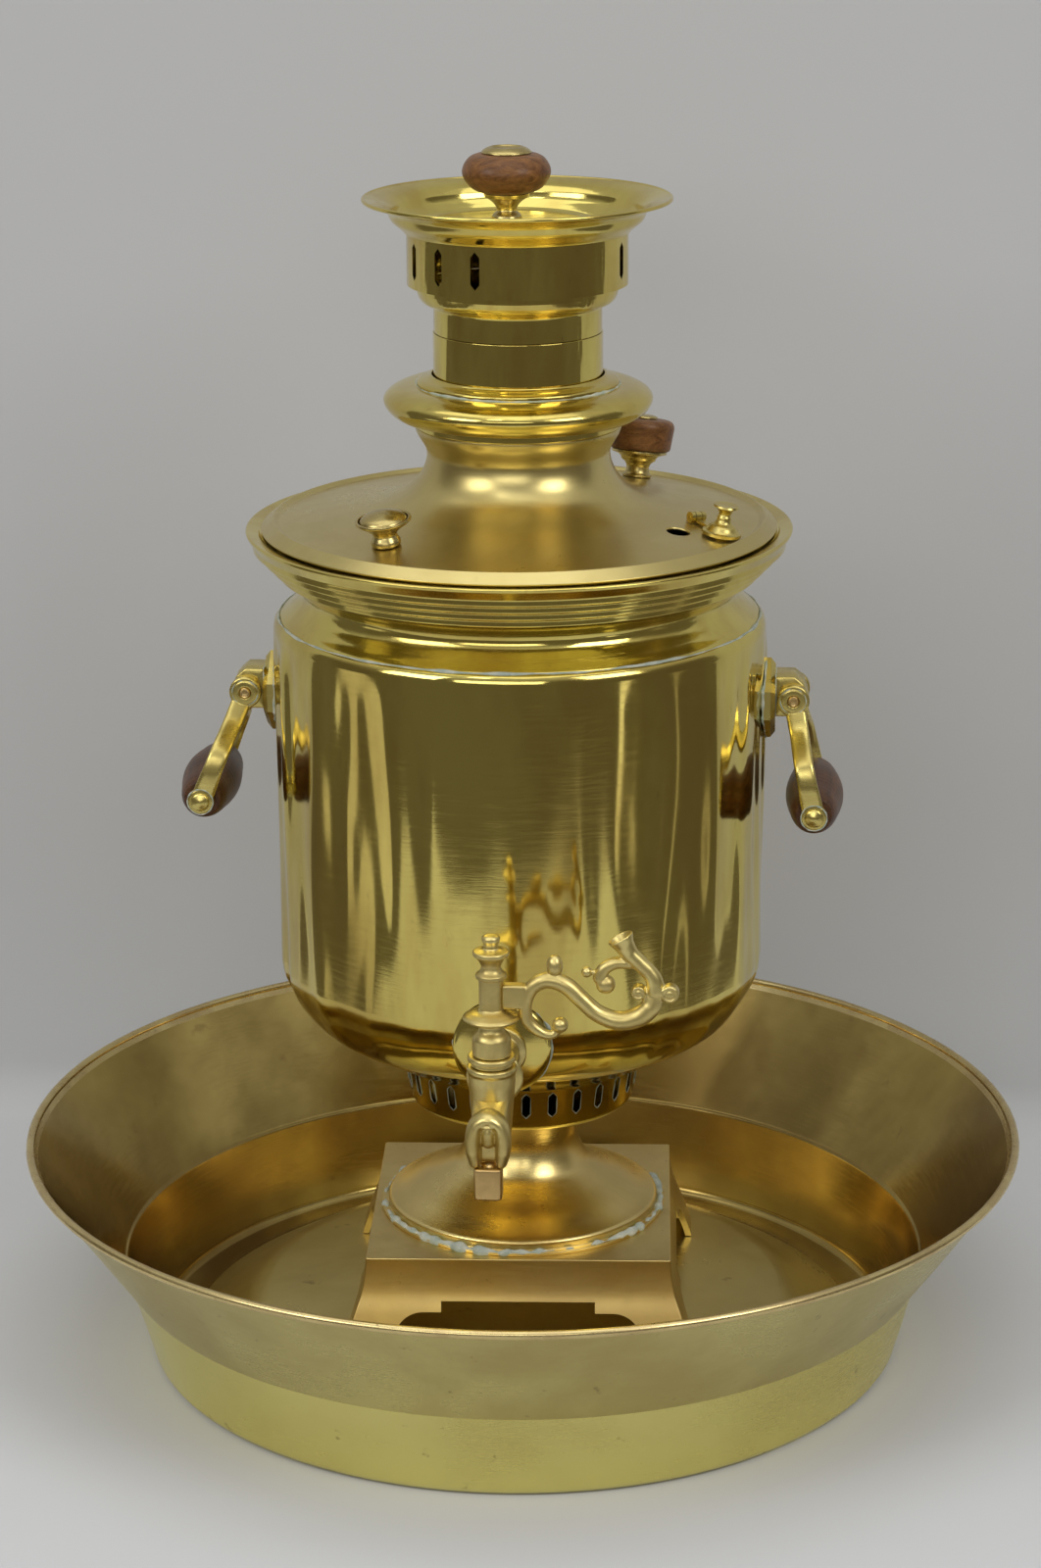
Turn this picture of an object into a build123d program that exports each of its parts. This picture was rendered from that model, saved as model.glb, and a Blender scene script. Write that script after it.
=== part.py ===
from build123d import *
import os
from math import atan, cos, degrees, hypot, pi, radians, sin, tan

# A charcoal samovar of turned and spun brass, standing in its drip basin. Millimetres.
# Frame: origin on the floor under the basin's centre, +Z up, tap towards -Y, handles on -X and +X.

# ---- clearances -----------------------------------------------------------------------------
seat_gap = 0.3          # between pieces that lift off each other
solder_gap = 0.2        # round a joint filled with solder
running_gap = 0.06      # radial, pin or plug in its bore

# ---- basin ----------------------------------------------------------------------------------
basin_wall = 1.3
basin_rim_radius = 229.0
basin_rim_height = 102.0
basin_rim_wire = 2.0
basin_waist_radius = 187.0
basin_waist_height = 43.0
basin_base_radius = 176.0
basin_corner = 5.0
basin_channel_width = 7.0
basin_flat_margin = 6.3    # flat left round the plinth's corners
basin_floor_rise = 20.0

# ---- plinth and pedestal --------------------------------------------------------------------
plinth_half = 69.4
plinth_spread = 11.0
plinth_height = 42.9
plinth_wall = 3.0
plinth_turn = 2.6       # degrees, the foot is soldered on slightly askew
bracket_half = 35.0
bracket_rise = 23.4
bracket_shoulder = 18.6
bracket_foot_gap = 56.5
bracket_round = 13.0
pedestal_height = 54.7
pedestal_flange = 66.4
pedestal_dome = 63.0
pedestal_dome_edge = 6.2
pedestal_neck = 25.4
pedestal_top_radius = 28.5
sheet_wall = 1.5

# ---- air ring, grate and fire tube ----------------------------------------------------------
vent_height = 21.3
vent_top_radius = 54.8
vent_base_radius = 51.9
vent_slots = 28
vent_slot_width = 3.9
vent_slot_height = 12.5
vent_slot_point = 2.0
vent_slot_level = 13.6
tube_radius = 37.5
firebox_radius = 46.0
firebox_height = 60.0
tube_taper_height = 120.0
tube_drop = 2.5
tube_lip = 4.0
tube_above_lid = 23.3
grate_thickness = 3.0
grate_slots = 7
grate_slot_width = 4.6

# ---- vessel and neck ring -------------------------------------------------------------------
vessel_wall = 1.5
vessel_radius = 109.8
vessel_flare = 0.8      # wider at the shoulder than over the bowl
vessel_top_radius = vessel_radius + vessel_flare
bowl_height = 50.0
vessel_height = 209.9
shoulder_height = 5.0
neck_height = 38.9
neck_waist_inset = 12.6
neck_waist = vessel_top_radius - neck_waist_inset
neck_lip_inset = 6.6
neck_lip_radius = vessel_top_radius - neck_lip_inset
neck_lip_level = 19.0
rib_count = 4
rib_step = 3.75
rib_rise = 3.9
rim_overhang = 3.0      # beyond the ribs
rim_radius = neck_lip_radius + rib_count * rib_step + rim_overhang
rim_lift = 1.4

# ---- lid, collar and knobs ------------------------------------------------------------------
lid_wall = 1.3
lid_overhang = 11.2     # beyond the neck's lip
lid_radius = neck_lip_radius + lid_overhang
lid_edge_width = 5.4
lid_bead_radius = lid_radius - lid_edge_width
lid_bead_rise = 4.4
lid_bead_width = 3.0
lid_plate_radius = lid_bead_radius - lid_bead_width
lid_plate_rise = 2.8
lid_cone_radius = 76.0
lid_cone_rise = 7.8
lid_neck_radius = 40.7
lid_neck_rise = 32.9
lid_throat_radius = 45.8
lid_height = 46.5
lid_skirt_depth = 9.0
lid_skirt_gap = 0.6
collar_gap = 0.7
collar_height = 18.4
collar_radius = 59.7
collar_step_radius = 45.2
collar_bulge_level = 11.8
collar_ring_height = 4.6
knob_inset = 19.2       # from the lid's bead to the knobs
knob_ring = lid_plate_radius - knob_inset
front_knob_angle = -36.0
rear_knob_angle = 146.0
steam_hole_radius = 5.2
steam_hole_inset = 23.4
steam_hole_ring = lid_plate_radius - steam_hole_inset
steam_hole_angle = 60.5
front_cup_radius = 12.2
front_cup_height = 12.0
knob_stem_radius = 5.9
rear_wood_radius = 15.2
rear_wood_height = 14.4
rear_cup_height = 12.3
tenon_radius = 3.0

# ---- steam vent -----------------------------------------------------------------------------
vent_hinge_inset = 27.3
vent_hinge_at = (lid_plate_radius - vent_hinge_inset, -23.5)
vent_cap_inset = 15.5
vent_cap_at = (lid_plate_radius - vent_cap_inset, -37.9)
vent_cap_radius = 8.6
vent_cap_height = 7.2
vent_plug_radius = 3.6
vent_plug_gap = 0.6     # the plug swings in and out of its hole on an arc
vent_plug_depth = 1.4
vent_knuckle_radius = 2.3
vent_pin_radius = 0.9
vent_barrel_length = 7.5
vent_knuckle_length = 3.0
vent_knob_radius = 5.6

# ---- crown and chimney cap ------------------------------------------------------------------
crown_wall = 1.2
crown_neck_height = 10.2
crown_spigot_depth = 12.0
crown_sleeve_height = 6.0    # the spigot goes this far up inside the neck
crown_bead_radius = 44.4
crown_bead_level = 18.2
crown_band_overhang = 4.2    # the band stands out from the bead by this much
crown_band_level = 22.4
crown_band_height = 21.2
crown_slot_width = 4.2
crown_slot_height = 16.4
crown_slot_point = 2.4
crown_slot_pitch = 22.5
crown_slots_per_side = 5
crown_slot_start = 72.5
dish_height = 13.6
dish_cove_radius = 56.6
dish_cove_level = 8.6
dish_rim_radius = 67.2
dish_rim_roll = 0.9
flue_radius = 30.0
cap_offset = -4.6       # the loose cap lies a little to one side of its hole
cap_plate_radius = 38.4
cap_plug_radius = 24.6
cap_plug_depth = 6.0
cap_stem_height = 12.6
cap_stem_waist = 4.8
cap_cup_radius = 9.6
cap_wood_radius = 19.4
cap_wood_height = 17.2
cap_button_radius = 11.0
cap_button_height = 2.6

# ---- handles --------------------------------------------------------------------------------
hinge_stand = 12.9      # hinge line out from the vessel
hinge_reach = vessel_top_radius + hinge_stand
hinge_drop = 36.4       # hinge line under the vessel's shoulder
left_lean = 22.0        # degrees out from hanging straight, where each bail rests on its stop
right_lean = 12.0
plate_half_height = 18.6
plate_half_width = 15.0
plate_stand = 4.8
block_half_length = 9.0
block_half_height = 9.2
hinge_pin_radius = 2.5
eye_radius = 7.3
eye_thickness = 4.4
bail_length = 48.5
bail_half_width = 34.0
bail_strap_width = 9.0
bail_strap_thickness = 3.8
bail_ring_radius = 6.0
bail_ring_thickness = 4.6
grip_radius = 13.0
grip_end_radius = 8.6
rod_radius = 2.4
rod_nut_radius = 4.2
rod_nut_height = 2.0

# ---- tap ------------------------------------------------------------------------------------
tap_stand = 50.7        # plug's axis out from the vessel
tap_reach = vessel_radius + tap_stand
tap_level = 42.5        # shank's centre line over the vessel's foot
tap_plate_radius = 21.5
tap_plate_dome = 4.5
shank_radius = 8.0
shank_tail_radius = 6.4
shank_ring_radius = 12.3
tap_nut_radius = 9.0
tap_nut_thickness = 5.0
barrel_radius = 9.9
barrel_foot_radius = 7.9
barrel_drop = 23.6
barrel_rise = 11.2
plug_top_radius = 7.0
plug_bottom_radius = 5.4
flow_radius = 3.1
washer_radius = 10.2
washer_height = 4.4
spout_radius = 7.4
spout_slope = 15.0      # degrees down from level
spout_start = -1.5      # centre line under the shank's, at the plug's axis
hood_reach = 20.0       # hood's centre ahead of the plug's axis
hood_half_width = 9.7
hood_depth = 12.0
hood_drop = 26.2
hood_slot_width = 6.2
hood_slot_flare = 5.6   # half width of the slot at the hood's foot
tongue_height = 11.8
outlet_width = 11.8
outlet_height = 13.8
outlet_bore = 3.7
key_shoulder_radius = 8.2
key_waist_radius = 4.9
key_flange_radius = 12.2
key_stem_radius = 5.2
key_shoulder_height = 16.4
key_flange_height = 4.2
key_stem_height = 13.0
key_head_height = 14.0
finial_height = 5.4
lever_reach = 68.8      # out to the foot of the horn
lever_thickness = 6.0


# ---- drawing tools --------------------------------------------------------------------------
def line(a, b):
    """A straight run of a profile."""
    way = (b[0] - a[0], b[1] - a[1])
    return [a, b], way, way


def curve(a, b, *shares, leave, arrive):
    """A smooth run from a to b; shares place points at fractions of the way across and up."""
    points = [(a[0] + (b[0] - a[0]) * across, a[1] + (b[1] - a[1]) * up) for across, up in shares]
    return [a, *points, b], leave, arrive


def edge(run):
    """The edge that a run draws."""
    points, leave, arrive = run
    straight = len(points) == 2 and leave == arrive
    return Line(*points) if straight else Spline(*points, tangents=(leave, arrive))


def left_of(way):
    """Unit vector to the left of a direction."""
    size = hypot(*way)
    return -way[1] / size, way[0] / size


def mitred(point, way_in, way_out, wall):
    """The point moved to the left by wall, where a run arriving meets a run leaving."""
    a, b = left_of(way_in), left_of(way_out)
    reach = wall / (1 + a[0] * b[0] + a[1] * b[1])
    return point[0] + (a[0] + b[0]) * reach, point[1] + (a[1] + b[1]) * reach


def moved_left(runs, wall):
    """The same runs, wall further to the left, so that the two sides enclose a sheet."""
    moved = []
    for index, (points, leave, arrive) in enumerate(runs):
        before = runs[index - 1][2] if index else leave
        after = runs[index + 1][1] if index + 1 < len(runs) else arrive
        chords = [(q[0] - p[0], q[1] - p[1]) for p, q in zip(points, points[1:])]
        ways_in = [before, *chords[:-1], arrive]
        ways_out = [leave, *chords[1:], after]
        side = [mitred(p, a, b, wall) for p, a, b in zip(points, ways_in, ways_out)]
        moved.append((side, leave, arrive))
    return moved


def sheet(runs, wall):
    """Cross-section of a sheet that lies wall to the left of its runs."""
    inner = moved_left(runs, wall)
    ends = [Line(runs[0][0][0], inner[0][0][0]), Line(runs[-1][0][-1], inner[-1][0][-1])]
    return make_face([edge(run) for run in runs] + [edge(run) for run in inner] + ends)


def closed(runs):
    """Cross-section enclosed by runs and a straight closing line."""
    return make_face([edge(run) for run in runs] + [Line(runs[-1][0][-1], runs[0][0][0])])


def polygon(*points):
    """Cross-section with straight sides."""
    return make_face(Polyline(*points, close=True))


def turned(section):
    """Solid turned about the Z axis from a section drawn as radius and height."""
    return revolve(Plane.XZ * section, Axis.Z)


def rod(radius, start, end):
    """Round bar between two points."""
    along = Vector(*end) - Vector(*start)
    return extrude(Plane(origin=start, z_dir=along) * Circle(radius), along.length)


def clock(radius, angle):
    """Point at an angle in degrees from the front, counted towards +X."""
    return radius * sin(radians(angle)), -radius * cos(radians(angle))


def pointed_slot(width, height, point):
    """Upright slot with pointed ends, centred."""
    half, top = width / 2, height / 2
    right = [(0, -top), (half, point - top), (half, top - point)]
    return polygon(*right, *[(-x, -z) for x, z in right])


def slot_cutters(width, height, point, level, near, far, angles):
    """Radial cutters for slots at the given angles from the front."""
    outline = pointed_slot(width, height, point)
    cutter = extrude(Plane.XZ.offset(near) * (Pos(0, level) * outline), far - near)
    return [Rot(0, 0, angle) * cutter for angle in angles]


# ---- levels, bottom to top ------------------------------------------------------------------
plinth_foot = plinth_half + plinth_spread
foot_z = basin_floor_rise + basin_wall + seat_gap
plinth_z = foot_z + plinth_height
vent_z = plinth_z + pedestal_height
vessel_z = vent_z + vent_height
shoulder_z = vessel_z + vessel_height
hinge_height = shoulder_z - hinge_drop
tap_height = vessel_z + tap_level
lid_z = shoulder_z + neck_height + seat_gap
collar_z = lid_z + lid_height
collar_ring_z = collar_z + collar_height
tube_top_z = collar_ring_z + tube_above_lid
crown_z = tube_top_z + seat_gap
crown_spigot_radius = tube_radius - sheet_wall - seat_gap
crown_neck_radius = crown_spigot_radius + solder_gap + crown_wall
crown_band_radius = crown_bead_radius + crown_band_overhang
crown_band_floor = crown_z + crown_band_level - 1.5
dish_z = crown_z + crown_band_level + crown_band_height
cap_z = dish_z + 2 * crown_wall + seat_gap
neck_bore = neck_waist - sheet_wall
seat_radius = lid_radius + 0.4
skirt_radius = neck_lip_radius - sheet_wall - lid_skirt_gap


# ---- basin ----------------------------------------------------------------------------------
def make_basin():
    centre = (0.0, basin_floor_rise)
    flat_end = (hypot(plinth_foot, plinth_foot) + basin_flat_margin, basin_floor_rise)
    channel = (basin_base_radius - basin_corner - basin_channel_width, 0.0)
    base = (basin_base_radius - basin_corner, 0.0)
    heel = (basin_base_radius, basin_corner)
    waist = (basin_waist_radius, basin_waist_height)
    rim = (basin_rim_radius, basin_rim_height)
    runs = [
        line(centre, flat_end),
        curve(flat_end, channel, (0.5, 0.5), leave=(1, 0), arrive=(1, 0)),
        line(channel, base),
        curve(base, heel, leave=(1, 0), arrive=(0, 1)),
        line(heel, waist),
        line(waist, rim),
    ]
    rim_wire = Pos(0, 0, basin_rim_height) * Torus(basin_rim_radius, basin_rim_wire)
    return turned(sheet(runs, basin_wall)) + rim_wire


# ---- plinth and pedestal --------------------------------------------------------------------
def apron(half, low, high):
    """Square block with hollow-curved sides that flare towards its foot."""
    flank = curve(
        (half, high),
        (half + plinth_spread, low),
        (0.145, 0.34),
        (0.46, 0.585),
        leave=(0, -1),
        arrive=(0.3, -1),
    )
    right = edge(flank)
    top = Line((-half, high), (half, high))
    bottom = Line((-half - plinth_spread, low), (half + plinth_spread, low))
    outline = make_face([right, mirror(right, Plane.YZ), top, bottom])
    prism = extrude(Plane.XZ * outline, 2 * half, both=True)
    return prism & (Rot(0, 0, 90) * prism)


def bracket_cutter():
    """Stepped opening with rounded shoulders, through the plinth from face to face."""
    shoulder = foot_z + bracket_shoulder
    top = foot_z + bracket_rise
    below = foot_z - plinth_wall
    round_start = (bracket_foot_gap, shoulder - bracket_round)
    round_end = (bracket_foot_gap - bracket_round, shoulder)
    right = [
        line((0, below), (bracket_foot_gap, below)),
        line((bracket_foot_gap, below), round_start),
        curve(round_start, round_end, leave=(0, 1), arrive=(-1, 0)),
        line(round_end, (bracket_half, shoulder)),
        line((bracket_half, shoulder), (bracket_half, top)),
        line((bracket_half, top), (0, top)),
    ]
    half = closed(right)
    return extrude(Plane.XZ * (half + mirror(half, Plane.YZ)), 2 * plinth_half, both=True)


def make_plinth():
    shell = apron(plinth_half, foot_z, plinth_z)
    shell -= apron(plinth_half - plinth_wall, foot_z, plinth_z - plinth_wall)
    cutter = bracket_cutter()
    shell -= cutter
    shell -= Rot(0, 0, 90) * cutter
    return Rot(0, 0, plinth_turn) * shell


def make_pedestal():
    flange = (pedestal_flange, plinth_z + sheet_wall)
    corner = (pedestal_dome, plinth_z + sheet_wall)
    edge_low = (pedestal_dome, plinth_z + 0.7 * pedestal_dome_edge)
    edge_top = (pedestal_dome - 2.0, plinth_z + pedestal_dome_edge)
    neck = (pedestal_neck, plinth_z + 0.68 * pedestal_height)
    top = (pedestal_top_radius, vent_z)
    runs = [
        line(flange, corner),
        line(corner, edge_low),
        curve(edge_low, edge_top, leave=(0, 1), arrive=(-1, 0.2)),
        curve(edge_top, neck, (0.31, 0.17), (0.64, 0.36), (0.87, 0.58), leave=(-1, 0.3), arrive=(0, 1)),
        curve(neck, top, leave=(0, 1), arrive=(0.25, 1)),
        line(top, (pedestal_neck / 2, vent_z)),
    ]
    return turned(sheet(runs, sheet_wall))


# ---- air ring, grate and fire tube ----------------------------------------------------------
def make_vent_ring():
    heel = (vent_base_radius - 4.0, vent_z)
    side = (vent_base_radius, vent_z + 3.0)
    runs = [
        line((0, vent_z), heel),
        curve(heel, side, leave=(1, 0), arrive=(0.15, 1)),
        line(side, (vent_top_radius, vessel_z - 0.8)),
        line((vent_top_radius, vessel_z - 0.8), (vent_top_radius, vessel_z)),
    ]
    pitch = 360 / vent_slots
    cutters = slot_cutters(
        vent_slot_width,
        vent_slot_height,
        vent_slot_point,
        vent_z + vent_slot_level,
        vent_base_radius - 8,
        vent_top_radius + 4,
        [pitch * (index + 0.5) for index in range(vent_slots)],
    )
    return turned(sheet(runs, sheet_wall)) - cutters


def make_grate():
    radius = firebox_radius - sheet_wall - seat_gap
    low = vessel_z - tube_drop + sheet_wall + seat_gap
    plate = Pos(0, 0, low) * Cylinder(radius, grate_thickness, align=(Align.CENTER, Align.CENTER, Align.MIN))
    pitch = 2 * (radius - tube_lip) / (grate_slots + 1)
    for index in range(grate_slots):
        across = (index - (grate_slots - 1) / 2) * pitch
        half_length = (radius - 2 * tube_lip) ** 2 - across**2
        slot = Pos(across, 0, low) * Box(grate_slot_width, 2 * half_length**0.5, 3 * grate_thickness)
        plate -= slot
    return plate


def make_fire_tube():
    bottom = vessel_z - tube_drop
    lip = (firebox_radius - sheet_wall - tube_lip, bottom)
    corner = (firebox_radius, bottom)
    box_top = (firebox_radius, bottom + firebox_height)
    taper_top = (tube_radius, box_top[1] + tube_taper_height)
    runs = [
        line(lip, corner),
        line(corner, box_top),
        curve(box_top, taper_top, leave=(0, 1), arrive=(0, 1)),
        line(taper_top, (tube_radius, tube_top_z)),
    ]
    return turned(sheet(runs, sheet_wall))


# ---- vessel and neck ring -------------------------------------------------------------------
def vessel_runs():
    hole = (firebox_radius + solder_gap, vessel_z)
    bowl_start = (vent_top_radius - 0.6, vessel_z)
    bowl_end = (vessel_radius, vessel_z + bowl_height)
    bead_start = (vessel_top_radius, shoulder_z - shoulder_height)
    bead_end = (vessel_top_radius - 2.8, shoulder_z)
    return [
        line(hole, bowl_start),
        curve(bowl_start, bowl_end, (0.17, 0.07), (0.44, 0.24), (0.79, 0.49), leave=(1, 0.3), arrive=(0, 1)),
        curve(bowl_end, bead_start, (0.35, 0.3), (0.6, 0.7), leave=(0, 1), arrive=(0, 1)),
        curve(bead_start, bead_end, leave=(0, 1), arrive=(-1, 0)),
        line(bead_end, (neck_lip_radius - 0.2, shoulder_z)),
    ]


def make_vessel():
    shell = turned(sheet(vessel_runs(), vessel_wall))
    tap_hole = rod(shank_tail_radius + solder_gap, (0, 0, tap_height), (0, -2 * vessel_radius, tap_height))
    return shell - tap_hole


def vessel_core(gap):
    """The room that the vessel takes up, grown by gap, to shape what is soldered to its side."""
    bowl, wall, bead = vessel_runs()[1:4]
    side = moved_left([bowl, wall, bead], -gap)
    top = side[-1][0][-1]
    foot = side[0][0][0]
    runs = [*side, line(top, (0, top[1])), line((0, top[1]), (0, foot[1]))]
    return turned(closed(runs))


def rib_corners():
    """Corners of the stepped ribs under the rim, from the neck's lip outwards and up."""
    corners = []
    for index in range(rib_count):
        radius = neck_lip_radius + (index + 1) * rib_step
        level = shoulder_z + neck_lip_level + index * rib_rise
        corners.append((radius, level + 0.35 * rib_rise))
        corners.append((radius, level + rib_rise))
    return corners


def make_neck_ring():
    base = (vessel_top_radius - 2.8, shoulder_z)
    lip = (neck_lip_radius, shoulder_z + neck_lip_level)
    waist = (neck_waist, shoulder_z + 0.6 * neck_lip_level)
    seat = shoulder_z + neck_height
    rim_low = (rim_radius - 0.3, seat + rim_lift - 1.6)
    rim_edge = (rim_radius, seat + rim_lift - 0.6)
    rim_top = (rim_radius - 0.8, seat + rim_lift)
    inner_lip = neck_lip_radius - sheet_wall
    corners = [
        lip,
        *rib_corners(),
        rim_low,
        rim_edge,
        rim_top,
        (seat_radius + 0.8, seat + 0.4),
        (seat_radius, seat),
        (inner_lip + 2, seat),
        (inner_lip, seat - 2),
        (inner_lip, lip[1] + 2),
    ]
    inside = [
        curve(corners[-1], (neck_bore, waist[1]), leave=(-0.6, -1), arrive=(0, -1)),
        curve((neck_bore, waist[1]), (base[0] - 2, base[1]), leave=(0, -1), arrive=(1, -0.6)),
    ]
    outside = [
        curve(base, waist, (0.45, 0.33), leave=(-0.75, 1), arrive=(0, 1)),
        curve(waist, lip, leave=(0, 1), arrive=(1, 0.3)),
    ]
    steps = [line(a, b) for a, b in zip(corners, corners[1:])]
    return turned(closed(outside + steps + inside))


# ---- lid, collar and knobs ------------------------------------------------------------------
lid_slope = (lid_cone_rise - lid_plate_rise) / (lid_plate_radius - lid_cone_radius)


def lid_surface(x, y):
    """Height of the lid's conical top at a point."""
    return lid_z + lid_wall + lid_plate_rise + (lid_plate_radius - hypot(x, y)) * lid_slope


def lid_plane(x, y, gap=0.0, towards=None):
    """Plane on the lid's top at a point, square to the cone, with its X axis towards a point."""
    ring = hypot(x, y)
    normal = Vector(x / ring * lid_slope, y / ring * lid_slope, 1).normalized()
    origin = Vector(x, y, lid_surface(x, y)) + normal * gap
    if towards is None:
        return Plane(origin=origin, z_dir=normal)
    way = Vector(towards[0] - x, towards[1] - y, lid_surface(*towards) - lid_surface(x, y))
    return Plane(origin=origin, x_dir=way - normal * way.dot(normal), z_dir=normal)


def make_lid():
    base = lid_z + lid_wall
    start = (lid_radius, base)
    bead = (lid_bead_radius, base + lid_bead_rise)
    plate = (lid_plate_radius, base + lid_plate_rise)
    cone = (lid_cone_radius, base + lid_cone_rise)
    neck = (lid_neck_radius, base + lid_neck_rise)
    throat = (lid_throat_radius, collar_z)
    runs = [
        line(start, bead),
        curve(bead, plate, leave=(-1, 0.1), arrive=(-1, -0.2)),
        line(plate, cone),
        curve(cone, neck, (0.42, 0.13), (0.75, 0.36), (0.93, 0.65), leave=(-1, 0.18), arrive=(0, 1)),
        curve(neck, throat, leave=(0, 1), arrive=(0, 1)),
    ]
    lid = turned(sheet(runs, lid_wall))
    lid -= lid_plane(*clock(steam_hole_ring, steam_hole_angle)) * Cylinder(steam_hole_radius, 8 * lid_wall)
    valve_hole = Pos(hinge_to_cap, 0, 0) * Cylinder(vent_plug_radius + vent_plug_gap, 8 * lid_wall)
    return lid - vent_plane * valve_hole


def make_lid_skirt():
    """Locating ring soldered under the lid, inside the neck's lip."""
    outer, inner = skirt_radius, skirt_radius - lid_wall
    under = lid_z + lid_plate_rise + (lid_plate_radius - outer) * lid_slope - solder_gap
    low = lid_z - lid_skirt_depth
    return turned(polygon((outer, low), (outer, under), (inner, under + lid_wall * lid_slope), (inner, low)))


def make_lid_collar():
    foot = (lid_throat_radius, collar_z)
    groove = (lid_throat_radius, collar_z + 0.2 * collar_height)
    bulge = (collar_radius, collar_z + collar_bulge_level)
    step = (collar_step_radius, collar_ring_z)
    runs = [
        line(foot, groove),
        curve(groove, bulge, (0.62, 0.14), leave=(1, 0.05), arrive=(0, 1)),
        curve(bulge, step, (0.14, 0.5), (0.5, 0.88), leave=(0, 1), arrive=(-1, 0)),
        line(step, (tube_radius + collar_gap, collar_ring_z)),
    ]
    return turned(sheet(runs, lid_wall))


def make_collar_ring():
    bore = tube_radius + collar_gap
    top = collar_ring_z + collar_ring_height
    low = (collar_step_radius - 0.4, collar_ring_z)
    side = (collar_step_radius - 0.4, collar_ring_z + 0.3 * collar_ring_height)
    runs = [
        line(low, side),
        curve(side, (bore + 0.8, top), leave=(-0.6, 1), arrive=(-0.4, 1)),
        line((bore + 0.8, top), (bore, top)),
        line((bore, top), (bore, collar_ring_z)),
    ]
    return turned(closed(runs))


def make_front_knob_cup():
    stem, cup, top = knob_stem_radius, front_cup_radius, front_cup_height
    waist = (stem - 0.8, 0.4 * top)
    rim = (cup, 0.93 * top)
    floor = top - 2.2
    runs = [
        line((0, 0), (stem, 0)),
        curve((stem, 0), waist, (-0.7, 0.35), leave=(1, 0.6), arrive=(-0.3, 1)),
        curve(waist, rim, (0.35, 0.45), leave=(0.2, 1), arrive=(0.7, 1)),
        line(rim, (cup - 0.2, top)),
        line((cup - 0.2, top), (cup - 1.3, top)),
        line((cup - 1.3, top), (cup - 1.6, floor)),
        line((cup - 1.6, floor), (0, floor)),
    ]
    return turned(closed(runs))


def make_front_knob_button():
    low = front_cup_height - 2.0
    radius = front_cup_radius - 1.9
    runs = [
        line((0, low), (radius, low)),
        line((radius, low), (radius, low + 1.4)),
        curve((radius, low + 1.4), (0, low + 5.4), (0.25, 0.58), leave=(-0.3, 1), arrive=(-1, 0)),
    ]
    return turned(closed(runs))


def make_rear_knob_stem():
    stem, cup, top = knob_stem_radius, front_cup_radius + 0.6, rear_cup_height
    tenon_top = top + rear_wood_height + seat_gap
    runs = [
        line((0, 0), (stem + 0.8, 0)),
        line((stem + 0.8, 0), (stem + 0.8, 1.0)),
        curve((stem + 0.8, 1.0), (stem - 0.6, 0.36 * top), leave=(-1, 0.2), arrive=(0, 1)),
        curve((stem - 0.6, 0.36 * top), (stem + 2, 0.62 * top), leave=(0, 1), arrive=(1, 0.3)),
        line((stem + 2, 0.62 * top), (stem + 2.4, 0.72 * top)),
        curve((stem + 2.4, 0.72 * top), (cup, 0.9 * top), leave=(0.6, 1), arrive=(1, 0.3)),
        line((cup, 0.9 * top), (cup, top)),
        line((cup, top), (tenon_radius, top)),
        line((tenon_radius, top), (tenon_radius, tenon_top)),
        line((tenon_radius, tenon_top), (0, tenon_top)),
    ]
    return turned(closed(runs))


def make_rear_knob_wood():
    low = rear_cup_height + seat_gap
    top = low + rear_wood_height
    bore = tenon_radius + solder_gap
    radius = rear_wood_radius
    runs = [
        line((bore, low), (radius - 1.8, low)),
        curve((radius - 1.8, low), (radius - 0.9, low + 1.2), leave=(1, 0), arrive=(0.2, 1)),
        line((radius - 0.9, low + 1.2), (radius, top - 4)),
        curve((radius, top - 4), (radius - 4.5, top), (0.25, 0.75), leave=(0, 1), arrive=(-1, 0.1)),
        line((radius - 4.5, top), (bore, top)),
    ]
    return turned(closed(runs))


def make_rear_knob_cap():
    low = rear_cup_height + rear_wood_height + 2 * seat_gap
    runs = [
        line((0, low), (7.2, low)),
        curve((7.2, low), (6.2, low + 1.1), leave=(0, 1), arrive=(-1, 0.2)),
        curve((6.2, low + 1.1), (0, low + 1.6), leave=(-1, 0.2), arrive=(-1, 0)),
    ]
    return turned(closed(runs))


def on_lid(shape, angle, ring=None):
    """A knob set square to the lid's cone at an angle from the front."""
    at = clock(ring or knob_ring, angle)
    return lid_plane(*at, gap=seat_gap) * shape


# ---- steam vent -----------------------------------------------------------------------------
hinge_lift = vent_knuckle_radius + 0.5
hinge_to_cap = hypot(vent_cap_at[0] - vent_hinge_at[0], vent_cap_at[1] - vent_hinge_at[1])
vent_plane = lid_plane(*vent_hinge_at, towards=vent_cap_at)
vent_strap = 1.2


def across(radius, low, high, lift):
    """Round bar along the hinge line of the vent, in the vent's own plane."""
    return rod(radius, (0, low, lift), (0, high, lift))


def make_vent_bracket():
    half = vent_barrel_length / 2
    inner = vent_knuckle_length / 2 + seat_gap
    foot = Box(2 * vent_knuckle_radius, vent_barrel_length, 0.5, align=(Align.CENTER, Align.CENTER, Align.MIN))
    bracket = Pos(0, 0, seat_gap) * foot
    for low, high in ((-half, -inner), (inner, half)):
        bracket += across(vent_knuckle_radius, low, high, hinge_lift)
    bracket -= across(vent_knuckle_radius + seat_gap, -inner, inner, hinge_lift)
    bracket -= across(vent_pin_radius + running_gap, -half - 1, half + 1, hinge_lift)
    return vent_plane * bracket


def make_vent_pin():
    half = vent_barrel_length / 2
    return vent_plane * across(vent_pin_radius, -half - 0.4, half + 0.4, hinge_lift)


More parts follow.
